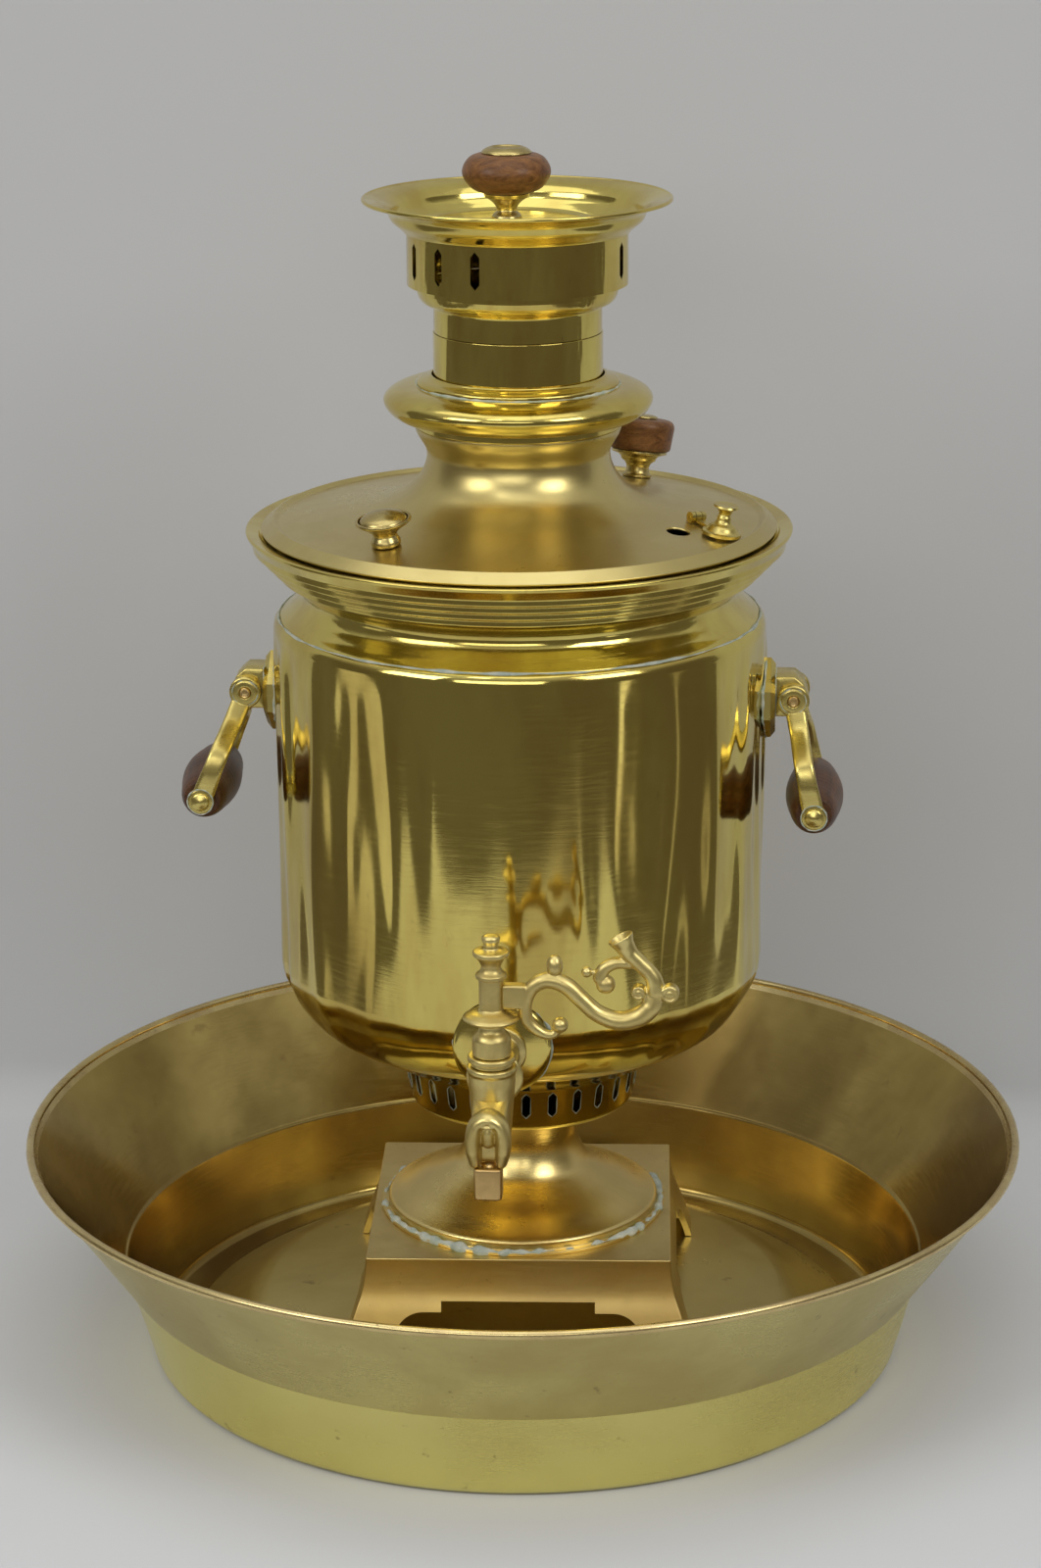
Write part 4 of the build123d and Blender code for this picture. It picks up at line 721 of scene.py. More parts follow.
def make_vessel():
    """Bowl and cylinder in one spun sheet with a rounded bead at the shoulder."""
    runs = route(
        (46.2, VESSEL_BASE), (54.2, VESSEL_BASE),
        ((109.8, 190.5), (0.17, 0.07), (0.44, 0.24), (0.79, 0.49), (1, 0.3), (0, 1)),
        ((110.6, 345.4), (0.35, 0.3), (0.6, 0.7), (0, 1), (0, 1)), ((107.8, SHOULDER), (0, 1), (-1, 0)),
        (103.8, SHOULDER),
    )
    hand, flat = dents(0.12, 40, 150, 345, 13, 46, 5), planished(0.12, 7, 52, 160, 345, 6)

    def wave(r, a, z):
        return np.where(r > 60, hand(r, a, z) + flat(r, a, z), 0)

    part = turned_part(sheet(runs, BODY_WALL, 0.4, 4.4), 480, wave)
    add("vessel_shell", [part], "samovar", "polished_brass", polished, "vessel")


def make_neck_ring():
    """Throat, sharp lip, stepped ribs and thin rim above the shoulder."""
    z = SHOULDER
    lip, waist = (104.0, z + 19), (98.0, z + 11.4)
    corners = [lip]
    for step in range(4):
        radius, level = 104 + 3.75 * (step + 1), z + 19 + 3.9 * step
        corners += [(radius, level + 1.36), (radius, level + 3.9)]
    corners += [
        (121.7, SEAT - 0.2), (122.0, SEAT + 0.8), (121.2, SEAT + 1.4), (116.4, SEAT + 0.4), (115.6, SEAT),
        (104.5, SEAT), (102.5, SEAT - 2), (102.5, z + 21),
    ]
    runs = route(
        (107.8, z), (waist, (0.45, 0.33), (-0.75, 1), (0, 1)), (lip, (0, 1), (1, 0.3)), *corners[1:],
        ((96.5, z + 11.4), (-0.6, -1), (0, -1)), ((105.8, z), (0, -1), (1, -0.6)),
    )
    part = turned_part(closed(runs, 0.5, 1.6), 272, dents(0.09, 30, z, SEAT, 20, 10, 8))
    add("neck_ring_spun", [part], "samovar", "polished_brass", turned_brass, "neck_ring")


def make_fire_tube():
    """Firebox, taper and chimney tube; the tube shows above the lid."""
    runs = route((40.5, 138), (46, 138), (46, 198), ((37.5, 318), (0, 1), (0, 1)), (37.5, TUBE_TOP))
    part = turned_part(sheet(runs, BODY_WALL, 0.4, 4.0), 160, dents(0.07, 16, 455, 477, 10, 8, 21))
    add("fire_tube_spun", [part], "samovar", "polished_brass", tube_brass, "fire_tube")


# ---- lid ----
LID_SLOPE = 5.0 / 30.8


def lid_surface(x, y):
    """Height of the lid's cone at a point."""
    return LID + 1.3 + 2.8 + (106.8 - math.hypot(x, y)) * LID_SLOPE


def lid_frame(x, y):
    """Matrix that stands a piece on the lid's cone, its Z square to it."""
    ring = math.hypot(x, y)
    up = Vector((x / ring * LID_SLOPE, y / ring * LID_SLOPE, 1)).normalized()
    ahead = Vector((1, 0, 0))
    ahead = (ahead - up * ahead.dot(up)).normalized()
    axes = Matrix((ahead, up.cross(ahead), up)).transposed().to_4x4()
    return shift(x, y, lid_surface(x, y)) @ axes


def clock(radius, angle):
    """Point at an angle from the front, counted towards +X."""
    return radius * math.sin(math.radians(angle)), -radius * math.cos(math.radians(angle))


def make_lid():
    """Lid with a flat edge, a bead, a shallow cone and a tall hollow neck; its two holes are cut."""
    base = LID + 1.3
    runs = route(
        (115.2, base), (109.8, base + 4.4), ((106.8, base + 2.8), (-1, 0.1), (-1, -0.2)),
        (76, base + 7.8),
        ((40.7, base + 32.9), (0.42, 0.13), (0.75, 0.36), (0.93, 0.65), (-1, 0.18), (0, 1)),
        ((45.8, COLLAR), (0, 1), (0, 1)),
    )
    wave = dents(0.035, 40, base, base + 14, 20, 16, 14)
    piece = make_piece("lid_spun", [turned_part(sheet(runs, THIN_WALL, 0.5, 2.0), 288, wave)])
    steam_hole, valve_hole = (*clock(83.4, 60.5), 5.2), (91.3, -37.9, 4.2)
    for x, y, radius in (steam_hole, valve_hole):
        bpy.ops.mesh.primitive_cylinder_add(vertices=48, radius=radius * MM, depth=0.016)
        drill = bpy.context.object
        frame_of = lid_frame(x, y)
        frame_of.translation = frame_of.translation * MM
        drill.matrix_world = frame_of
        cut_by(piece, drill)
    finish_piece(piece, "lid", "worn_brass", lid_brass, "lid")


def make_lid_collar():
    """Hollow torus over the lid's neck, flatter above than below."""
    z = COLLAR
    runs = route(
        (45.8, z), (45.8, z + 3.68), ((59.7, z + 11.8), (0.62, 0.14), (1, 0.05), (0, 1)),
        ((45.2, COLLAR_RING), (0.14, 0.5), (0.5, 0.88), (0, 1), (-1, 0)), (38.2, COLLAR_RING),
    )
    part = turned_part(sheet(runs, THIN_WALL, 0.5, 1.4), 256, dents(0.1, 26, z, COLLAR_RING, 12, 6, 17))
    add("collar_spun", [part], "lid", "polished_brass", turned_brass, "lid_collar")


def make_collar_ring():
    """Step ring that closes the collar round the tube."""
    z = COLLAR_RING
    runs = route(
        (44.8, z), (44.8, z + 1.4), ((39.0, z + 4.6), (-0.6, 1), (-0.4, 1)), (38.2, z + 4.6), (38.2, z),
    )
    part = turned_part(closed(runs, 0.3, 1.0), 224)
    add("collar_ring_turned", [part], "lid", "polished_brass", turned_brass, "collar_ring")


def make_front_knob():
    """Small pull: waisted cup with a domed button set in its rim."""
    cup = route(
        (0, 0), (5.9, 0), ((5.1, 4.8), (-0.7, 0.35), (1, 0.6), (-0.3, 1)),
        ((12.2, 11.2), (0.35, 0.45), (0.2, 1), (0.7, 1)), (12.0, 12), (10.9, 12), (10.6, 9.8), (0, 9.8),
    )
    button = route((0, 10.0), (10.3, 10.0), (10.3, 11.4), ((0, 15.4), (0.25, 0.58), (-0.3, 1), (-1, 0)))
    stand = lid_frame(*clock(87.6, -36.0)) @ shift(0, 0, STAND_OFF)
    for name, runs, cad in (
        ("front_cup", cup, "front_knob_cup"), ("front_button", button, "front_knob_button"),
    ):
        part = placed(solid_part(runs, 0.25, 0.6, 96), stand)
        add(name, [part], "lid", "handle_brass", knob_brass, cad)


def make_rear_knob():
    """Pull with a wooden ring between a turned stem and a small cap."""
    stem = route(
        (0, 0), (6.7, 0), (6.7, 1), ((5.3, 4.43), (-1, 0.2), (0, 1)), ((7.9, 7.63), (0, 1), (1, 0.3)),
        (8.3, 8.86), ((12.8, 11.07), (0.6, 1), (1, 0.3)), (12.8, 12.3), (3, 12.3), (3, 27), (0, 27),
    )
    ring = route(
        (3.2, 12.6), (13.4, 12.6), ((14.3, 13.8), (1, 0), (0.2, 1)), (15.2, 23),
        ((10.7, 27), (0.25, 0.75), (0, 1), (-1, 0.1)), (3.2, 27),
    )
    cap = route((0, 27.3), (7.2, 27.3), ((6.2, 28.4), (0, 1), (-1, 0.2)), ((0, 28.9), (-1, 0.2), (-1, 0)))
    stand = lid_frame(*clock(87.6, 146.0)) @ shift(0, 0, STAND_OFF)
    wooden = turned_part(closed(ring, 0.5, 0.8), 112)
    for name, part, slot_name, material in (
        ("stem", solid_part(stem, 0.25, 0.7, 96), "handle_brass", knob_brass),
        ("wood", wooden, "wood", knob_wood),
        ("cap", solid_part(cap, 0.25, 0.6, 96), "handle_brass", knob_brass),
    ):
        add(f"rear_{name}", [placed(part, stand)], "lid", slot_name, material, f"rear_knob_{name}")


# ---- crown and chimney cap ----
def make_crown_dish():
    """Dish of the crown: flat floor round the flue, moulded wall and flared rim with a rolled edge."""
    z, reach, roller = DISH, 67.2, 0.9
    runs = route(
        (30, z), (49.6, z), ((56.6, z + 8.6), (0.35, 0.3), (0.8, 0.62), (0.3, 1), (0.35, 1)),
        ((reach, z + 13.6), (0.3, 0.55), (0.8, 1), (1, 0.25)),
    )
    turn = full_turn(12)
    roll = np.stack([reach + roller * np.cos(turn), z + 14.2 + roller * np.sin(turn)], 1)
    wave = dents(0.12, 18, z, z + 15, 14, 8, 31)
    parts = [turned_part(sheet(runs, DISH_WALL, 0.4, 1.2), 256, wave), turned_part(roll, 256, wave)]
    add("crown_dish_spun", parts, "crown", "polished_brass", turned_brass, "crown_dish")


def make_chimney_cap():
    """Loose cap: plate with raised rings, turned stem, wooden knob and a brass button on top."""
    z, rest, aside = CAP, DISH + 1.5, -4.6
    plate = route(
        (0, z + 1.2), (20, z + 1.2), ((23, z + 1.2), (0.5, 0), (1, 0), (1, 0)), (36.9, z + 1.2),
        (38.4, z + 2.2), (38.4, rest), (36.9, rest), (36.9, z), (24.6, z), (24.6, DISH - 6),
        (23.4, DISH - 6), (23.4, z), (0, z),
    )
    low = z + 1.2
    stem = route(
        (0, low), (6.4, low), ((4.4, low + 5.3), (-0.1, 0.5), (0.3, 1), (-0.2, 1)),
        ((9.6, low + 10.8), (0.3, 0.55), (0, 1), (1, 0.4)), (10.2, low + 12.6), (3, low + 12.6),
        (3, low + 29.8), (0, low + 29.8),
    )
    base = low + 12.8
    knob = route(
        (3.2, base), (10.4, base), ((19.4, base + 9.1), (0.66, 0.32), (1, 0.2), (0, 1)),
        ((11.6, base + 17), (0.34, 0.72), (0, 1), (-1, 0.2)), (3.2, base + 17),
    )
    top = low + 30
    button = route(
        (0, top), (11, top), ((9.6, top + 1.56), (0, 1), (-1, 0.5)),
        ((7, top + 2.6), (-1, 0.6), (-1, 0)), (6, top + 1.8), (0, top + 1.8),
    )
    for name, runs, cad, material, slot_name, loop in (
        ("cap_disc", plate, "cap_plate", turned_brass, "handle_brass", False),
        ("cap_stem_turned", stem, "cap_stem", knob_brass, "handle_brass", False),
        ("cap_wood", knob, "cap_knob", knob_wood, "wood", True),
        ("cap_button_turned", button, "cap_button", knob_brass, "handle_brass", False),
    ):
        outline = closed(runs, 0.5, 0.8) if loop else solid_runs(runs, 0.25, 0.9)
        part = placed(turned_part(outline, 144, solid=not loop), shift(aside, 0, 0))
        add(name, [part], "chimney_cap", slot_name, material, cad)


# ---- tap ----
TAP_REACH, TAP_HEIGHT = 160.5, 183.0
TAP = shift(0, -TAP_REACH, TAP_HEIGHT)
OUTWARDS = spin("X", -90)
FLANGE = 32.6


def fused(piece, voxel, rounds):
    """Overlapping solids joined into one skin: remeshed on a grid of the voxel's size in
    millimetres, then each vertex is moved part of the way to the middle of its neighbours."""
    join = piece.modifiers.new("join", "REMESH")
    join.mode = "VOXEL"
    join.voxel_size = voxel * MM
    soften = piece.modifiers.new("soften", "SMOOTH")
    soften.factor = 0.5
    soften.iterations = rounds
    return settled(piece)


def block_part(low, high):
    """Box with rounded edges: a ball whose sines and cosines are raised to a small power."""
    corner, turns = 0.22, 48
    low, high = np.array(low, float), np.array(high, float)
    up = np.linspace(-np.pi / 2, np.pi / 2, 33)
    angle = full_turn(turns) + np.pi / turns
    u, a = np.meshgrid(up, angle, indexing="ij")
    c, s = np.cos(u) ** corner, np.sign(np.sin(u)) * np.abs(np.sin(u)) ** corner
    ca, sa = np.cos(a), np.sin(a)
    x = c * np.sign(ca) * np.abs(ca) ** corner
    y = c * np.sign(sa) * np.abs(sa) ** corner
    return (low + high) / 2 + np.stack([x, y, s], -1) * (high - low) / 2, False, True


def tap_piece(name, parts, cad, body="samovar", voxel=0.0, rounds=4, material=None):
    """A piece drawn in the tap's own frame and put in its place."""
    piece = make_piece(name, [placed(part, TAP) for part in parts])
    if voxel:
        fused(piece, voxel, rounds)
    finish_piece(piece, body, "tap_brass", material or tap_brass, cad)


def make_tap_body():
    """Tapered barrel with a rim, and the shank with its rings going back to the vessel."""
    barrel = route(
        (5.5, -23.6), (7.3, -23.6), (7.9, -23.0), (9.9, 3.4), (9.9, 7.9), (10.6, 8.9), (10.6, 10.7),
        (10.1, 11.2), (7.15, 11.2),
    )
    shank = route(
        (0, 8.2), (8.0, 8.2), (8.0, 12.4), ((12.3, 14.0), (1, 0.1), (0.2, 1)),
        ((10.2, 15.6), (0, 1), (-1, 0.2)), ((10.2, 18.6), (0.6, 0.5), (0.8, 1), (-0.8, 1)),
        ((8.0, 22), (-1, 0.1), (0, 1)), (8.0, 42.0), ((11.3, 43.6), (0, 1), (0.6, 1)), (11.3, 45.4),
        (10.7, 46.0), (6.4, 46.0), (6.4, 62.5), (0, 62.5),
    )
    parts = [
        turned_part(closed(barrel, 0.3, 1.0), 96),
        placed(solid_part(shank, 0.3, 1.0, 96), OUTWARDS),
    ]
    tap_piece("tap_barrel_cast", parts, "tap_body", voxel=0.46, rounds=3)


def make_tap_spout():
    """Sloping neck into a hood: a flat bar bent into an arch, a back wall and a tongue in its slot."""
    down = math.tan(math.radians(15))
    neck = bar_part([(0, -out, -1.5 - out * down) for out in (3, 10, 16.5)], [7.4, 7.4, 7.3])
    arch = [(-5.6, -20, -24.4), (-6.3, -20, -19.5), (-6.4, -20, -13.5), (-4.7, -20, -7.6), (0, -20, -4.6)]
    arch += [(-x, y, z) for x, y, z in arch[-2::-1]]
    thick = [2.6, 3.3, 3.35, 3.4, 3.6, 3.4, 3.35, 3.3, 2.6]
    hood = bar_part(arch, thick, flatness=1.78, count=110, turns=40)
    back = block_part((-7.2, -18.6, -25.4), (7.2, -14.2, -6.0))
    tongue = bar_part(
        [(0, -19.6, -7.0), (0, -20.6, -11.0), (0, -19.8, -15.6)], [3.0, 3.1, 3.0], flatness=1.25,
    )
    tap_piece("tap_spout_cast", [neck, hood, back, tongue], "tap_spout", voxel=0.4)


def make_tap_outlet():
    """Square outlet with rounded corners and a round bore; its outline is a power curve of the angle."""
    angle = full_turn(96)
    square = 5.9 / (np.abs(np.cos(angle)) ** 7 + np.abs(np.sin(angle)) ** 7) ** (1 / 7)
    bore = np.full_like(angle, 3.7)
    rings = [
        (bore + 0.5, 0.0), (square * 0.93, 0.0), (square * 0.985, 0.3), (square, 0.9), (square, 4.0),
        (square, 10.0), (square, 12.6), (square * 0.985, 13.3), (square * 0.94, 13.8), (bore, 13.8),
        (bore, 9.0), (bore, 1.0),
    ]
    radius = np.array([ring for ring, level in rings])
    level = np.array([level for ring, level in rings])[:, None] - 40.3 + 0 * angle
    points = np.stack([radius * np.sin(angle), -19.1 - radius * np.cos(angle), level], -1)
    tap_piece("tap_outlet_cast", [(points, True, True)], "tap_outlet", material=copper_brass)


def make_tap_washer():
    """Ring on top of the barrel with a projecting edge."""
    ring = route(
        (7.35, 11.5), (8.8, 11.5), (8.6, 13.0), (10.2, 13.6), (10.2, 15.2), (9.7, 15.9), (7.35, 15.9),
    )
    tap_piece("tap_ring_turned", [turned_part(closed(ring, 0.35, 0.8), 112)], "tap_washer")


def make_tap_key():
    """Plug, shoulder, cone, broad flange, stem, collar and head, turned in one."""
    runs = route(
        (0, -23.6), (5.4, -23.6), (7.0, 11.2), (7.0, 16.2), (8.2, 16.2), (8.2, 23.2),
        ((5.5, 27.35), (0.3, 0.45), (-0.2, 1), (-0.3, 1)),
        ((6.4, 30.8), (-0.3, 0.5), (-0.3, 1), (1, 0.8)), ((12.2, FLANGE), (1, 0.1), (0.6, 1)),
        ((5.2, 36.8), (0.45, 0.5), (-0.4, 1), (-0.6, 1)), (5.2, 49.8), (6.6, 50.4), (6.6, 51.8),
        ((4.2, 55.4), (0.7, 0.4), (-0.6, 1), (0, 1)), ((7.7, 60.4), (0.4, 0.6), (0.2, 1), (1, 0.7)),
        (7.7, 61.8), ((3.2, 63.8), (0.6, 0.45), (-0.6, 1), (-0.3, 1)), (0, 63.8),
    )
    tap_piece("tap_key_turned", [solid_part(runs, 0.3, 0.8, 128)], "tap_key", "key")
    top = route(
        (0, 64.0), (3.2, 64.0), ((3.85, 66.6), (0.0, 0.5), (-0.2, 1), (0.8, 1)), (3.85, 67.9),
        ((0, 69.4), (0.3, 0.7), (-0.4, 1), (-1, 0)),
    )
    tap_piece("tap_finial_turned", [solid_part(top, 0.25, 0.6, 64)], "tap_finial", "key")


def mouth_part(points, radii, depth):
    """Round bar that ends in a hollow mouth: past its last ring the rings turn in over a lip and go
    back down inside by the depth."""
    grid = bar_part(points, radii, count=60, turns=32)[0]
    centre, last = grid[:-6].mean(1), grid[-7]
    way = centre[-1] - centre[-3]
    way /= np.linalg.norm(way)
    steps = [
        (1.02, 0.35), (0.96, 0.75), (0.84, 0.7), (0.62, -0.4 * depth), (0.4, -0.75 * depth), (0.0, -depth),
    ]
    rings = [centre[-1] + (last - centre[-1]) * wide + way * ahead for wide, ahead in steps]
    return np.concatenate([grid[:-6], np.array(rings)]), False, True


def curl_part(centre, radius):
    """Rolled end of a leaf: a short roll across the lever with a raised rim and boss on both sides."""
    boss = route(
        (0, 0), (0.3 * radius, 0), (0.42 * radius, -0.5), (0.58 * radius, -0.5), (0.7 * radius, 0.1),
    )
    rim = flowing((0.74 * radius, 0.1), (radius, -1.2), leave=(1, 0.1), arrive=(0.1, -1))
    top = softened(lines_of([*boss, rim]), 0.2, 0.5, closed=False)
    outline = np.vstack([top + [0, 3.1], (top * [1, -1] - [0, 3.1])[::-1]])
    across = Matrix.Translation(centre) @ OUTWARDS
    return placed((turned(outline, 40), False, True), across)


def make_tap_lever():
    """Scroll lever of round bars, leaves, curls, balls and a trumpet, joined into one casting."""

    def up(*points):
        return [(out, 0, FLANGE + rise) for out, rise in points]

    scroll = up(
        (28.4, -5.2), (25.1, -7.3), (20.6, -6.2), (15.2, -0.9), (14.3, 6.9), (17.2, 13.6), (23.5, 17.0),
        (31.2, 14.9), (38.2, 8.5), (44.6, 2.8), (53.3, -0.3), (61.7, 1.6), (66.9, 6.2), (68.6, 10.8),
    )
    thick = [1.6, 2.0, 2.4, 2.75, 3.0, 3.2, 3.5, 3.75, 3.7, 3.8, 4.1, 4.4, 4.3, 3.5]
    horn = up(
        (68.0, 7.4), (68.9, 13.0), (68.4, 17.6), (66.2, 21.4), (62.0, 25.6), (57.9, 29.8), (55.8, 33.2),
        (54.3, 36.1),
    )
    sprig = up((61.0, 25.4), (57.2, 25.3), (52.1, 25.2), (47.4, 22.6), (45.6, 18.6))
    parts = [
        bar_part(scroll, thick, count=120),
        mouth_part(horn, [2.6, 3.7, 3.6, 3.4, 3.5, 3.7, 4.3, 5.6], 6.0),
        bar_part(sprig, [2.3, 2.5, 2.6, 2.8, 3.0], count=40),
        bar_part(up((67.4, 6.2), (70.4, 11.6), (72.6, 14.6)), [3.2, 2.5, 1.8], count=24),
        bar_part(up((66.8, 5.8), (65.2, 11.4), (63.2, 14.4)), [3.3, 2.4, 1.7], count=24),
        bar_part(up((45.4, 20.0), (43.0, 20.9), (40.6, 20.8)), [1.3, 1.1, 1.2], count=16),
        ball_part(up((28.9, -2.8))[0], 3.44),
        ball_part(up((48.0, 15.8))[0], (4.1, 3.6, 4.1)),
        ball_part(up((40.1, 21.0))[0], 2.3),
        ball_part(up((26.7, 23.5))[0], (3.5, 3.5, 4.8)),
        curl_part(up((74.9, 12.5))[0], 3.9),
        curl_part(up((61.8, 12.9))[0], 3.1),
        block_part((4.6, -3.0, FLANGE + 4.5), (14.6, 3.0, FLANGE + 15.1)),
    ]
    tap_piece("tap_lever_cast", parts, "tap_lever", "key", voxel=0.36, rounds=3)


# ---- handles ----
HINGE_HEIGHT = 314.0
HINGE = Vector((123.5, 0.0, HINGE_HEIGHT))
HUNG = 48.5


def prism_part(outline, low, high, edge):
    """A flat shape between two heights with rounded edges: rings of its outline, drawn in towards the
    middle by the edge at both faces, and closed at the middle."""
    outline = np.array(outline, float)
    middle = outline.mean(0)
    away = outline - middle
    drawn_in = [1 - inset * edge / np.hypot(*away.T)[:, None] for inset in (1.0, 0.3, 0.0)]
    half = [0 * drawn_in[0], 0 * drawn_in[0] + 0.5, *drawn_in]
    level = [low, low, low, low + 0.3 * edge, low + edge]
    flat = [middle + away * scale for scale in half]
    rows = [np.column_stack([points, np.full(len(outline), at)]) for points, at in zip(flat, level)]
    over = [row * [1, 1, -1] + [0, 0, low + high] for row in rows[::-1]]
    return np.array(rows + over), False, True


def rounded_outline(points, radius, spacing=1.0):
    """A closed outline through corner points, its corners rounded."""
    points = [np.array(point, float) for point in points]
    chains = [np.array([a, b]) for a, b in zip(points, points[1:] + points[:1])]
    return softened(chains, radius, spacing)


def drifts(seed, count, order):
    """Three sums of sines of whole numbers of waves round a line, weaker for the higher ones."""
    local = np.random.default_rng(seed)
    share = full_turn(count)
    phase = local.uniform(0, 2 * np.pi, (3, len(order)))
    size = local.normal(0, 1, (3, len(order))) / np.sqrt(order)
    return (size[:, :, None] * np.sin(order[None, :, None] * share + phase[:, :, None])).sum(1)


def wandering(points, thick, seed, turns=8, normal=(0, 0, 1)):
    """Old solder or verdigris along a closed line: a thin tube, its thickness and place the sums of
    sines of whole numbers of waves round the line, weaker for the higher ones."""
    drift = drifts(seed, len(points), np.arange(2, max(6, len(points) // 6)))
    fat = thick * np.clip(1 + 0.4 * drift[0], 0.3, 2.0)
    way = np.roll(points, -1, 0) - np.roll(points, 1, 0)
    way /= np.linalg.norm(way, axis=1)[:, None]
    across = np.cross(way, normal)
    across /= np.linalg.norm(across, axis=1)[:, None]
    up = np.cross(across, way)
    centre = points + 0.15 * thick * (drift[1][:, None] * across + drift[2][:, None] * up)
    turn = full_turn(turns)
    ring = np.cos(turn)[None, :, None] * across[:, None] + np.sin(turn)[None, :, None] * up[:, None]
    return centre[:, None] + fat[:, None, None] * ring, True, True


def circle_at(radius, height, count=90):
    """Points of a circle square to Y, at a height along it."""
    turn = full_turn(count)
    return np.stack([radius * np.cos(turn), np.full(count, height), radius * np.sin(turn)], 1)


def make_handle(side, lean):
    """One bail: two bowed straps with an eye above and a ring below, the turned grip between them,
    the block it hangs on and the pin; drawn hanging, then leaned out."""
    facing = spin("Z", 180 if side == "left" else 0)
    hung = facing @ Matrix.Translation(HINGE) @ spin("Y", -lean)
    fixed = facing @ Matrix.Translation(HINGE)
    body = side + "_handle"
    eye = route(
        (2.62, -2.2), (6.9, -2.2), (7.3, -1.8), (7.3, 1.5), (6.7, 2.1), (5.9, 2.1), (5.6, 1.7),
        (5.2, 2.35), (2.62, 2.5),
    )
    ring = route((2.5, -2.3), (5.4, -2.3), (6.0, -1.7), (6.0, 1.6), (5.3, 2.3), (2.5, 2.3))
    strap = [(0, 11.5, -5.5), (0, 17.8, -14.55), (0, 31.6, -24.0), (0, 35.0, -33.0), (0, 34.0, -44.0)]
    for letter, mirrored in (("a", 1), ("b", -1)):
        flip = Matrix.Diagonal((1, mirrored, 1, 1))
        parts = [
            placed(turned_part(closed(eye, 0.25, 0.7), 64), shift(0, 11.5, 0) @ OUTWARDS),
            placed(turned_part(closed(ring, 0.3, 0.7), 56), shift(0, 34, -HUNG) @ OUTWARDS),
            bar_part(
                strap, [2.0, 1.9, 1.9, 1.9, 2.1], side=(1, 0, 0), flatness=2.3, count=64, turns=36,
                square=0.55,
            ),
        ]
        piece = make_piece(f"{side}_strap_{letter}", [placed(part, hung @ flip) for part in parts])
        fused(piece, 0.36, 2)
        finish_piece(piece, body, "handle_brass", handle_brass, f"{side}_arm_{letter}")
        lines = [circle_at(5.75, 13.35), circle_at(5.8, 36.2) - [0, 0, HUNG]]
        crusts = [
            wandering(moved_points(line, hung @ flip), 0.28, seed, 6, (0, 1, 0.01))
            for seed, line in enumerate(lines, 60)
        ]
        add(f"{side}_verdigris_{letter}", crusts, body, "worn_brass", seam)
    ring_at, ring_half, gap = 34, 2.3, 0.3
    half = ring_at - ring_half - gap
    grip = route(
        (2.6, -half), (7.6, -half), ((8.6, 1.2 - half), (1, 0), (0.5, 1)),
        ((13, 0), (0.62, 0.42), (0.5, 1), (0, 1)), ((8.6, half - 1.2), (0.38, 0.58), (0, 1), (-0.5, 1)),
        ((7.6, half), (-0.5, 1), (-1, 0)), (2.6, half),
    )

    def lathe(r, a, z):
        marks = 0.05 * np.sin(2.1 * z) * np.sin(0.37 * z) + 0.12 * np.sin(a + 0.1 * z)
        return np.where(r > 7, marks, 0)

    part = placed(turned_part(closed(grip, 0.3, 0.8), 112, lathe), shift(0, 0, -HUNG) @ OUTWARDS)
    add(f"{side}_grip_turned", [placed(part, hung)], body, "wood", grip_wood, f"{side}_grip")
    block = rounded_outline(
        [(-8.1, -8.4), (1.5, -8.4), (5.6, -4.4), (6.5, 1.5), (4.6, 6.4), (0.6, 9.9), (-8.1, 9.9)], 0.8,
    )
    cast = prism_part(block, -9.0, 9.0, 0.7)
    piece = make_piece(f"{side}_block_cast", [placed(cast, fixed @ spin("X", 90))])
    piece.data.set_sharp_from_angle(angle=math.radians(50))
    finish_piece(piece, "samovar", "handle_brass", handle_brass, f"{side}_hinge_block")
    end = route((0, 0), (2.5, 0), (2.5, 13.9), (2.1, 14.5), (1.5, 14.3), (0, 14.5))
    pin = [placed(solid_part(end, 0.15, 0.8, 40), fixed @ spin("X", t)) for t in (90, -90)]
    add(f"{side}_pin_turned", pin, "samovar", "handle_brass", copper_brass, f"{side}_hinge_pin")
    high, wide, out = 18.6, 15.0, 110.9
    low = 0.35 * high
    corners = [(0, -high), (wide, -low), (wide, low), (0, high), (-wide, low), (-wide, -low)]
    foot = rounded_outline(corners, 0.5, 1.0)
    line = np.column_stack([np.sqrt(out**2 - foot[:, 0] ** 2), foot[:, 0], foot[:, 1] + 312.0])
    root = rounded_outline([(-9, -8.4), (9, -8.4), (9, 9.9), (-9, 9.9)], 0.8, 1.0)
    face = np.column_stack([np.full(len(root), 115.5), root[:, 0], root[:, 1] + HINGE_HEIGHT])
    crusts = [
        wandering(moved_points(points, facing), thick, 70, 7, (1, 0, 0.01))
        for points, thick in ((line, 0.55), (face, 0.35))
    ]
    add(f"{side}_plate_seam", crusts, "samovar", "worn_brass", seam)


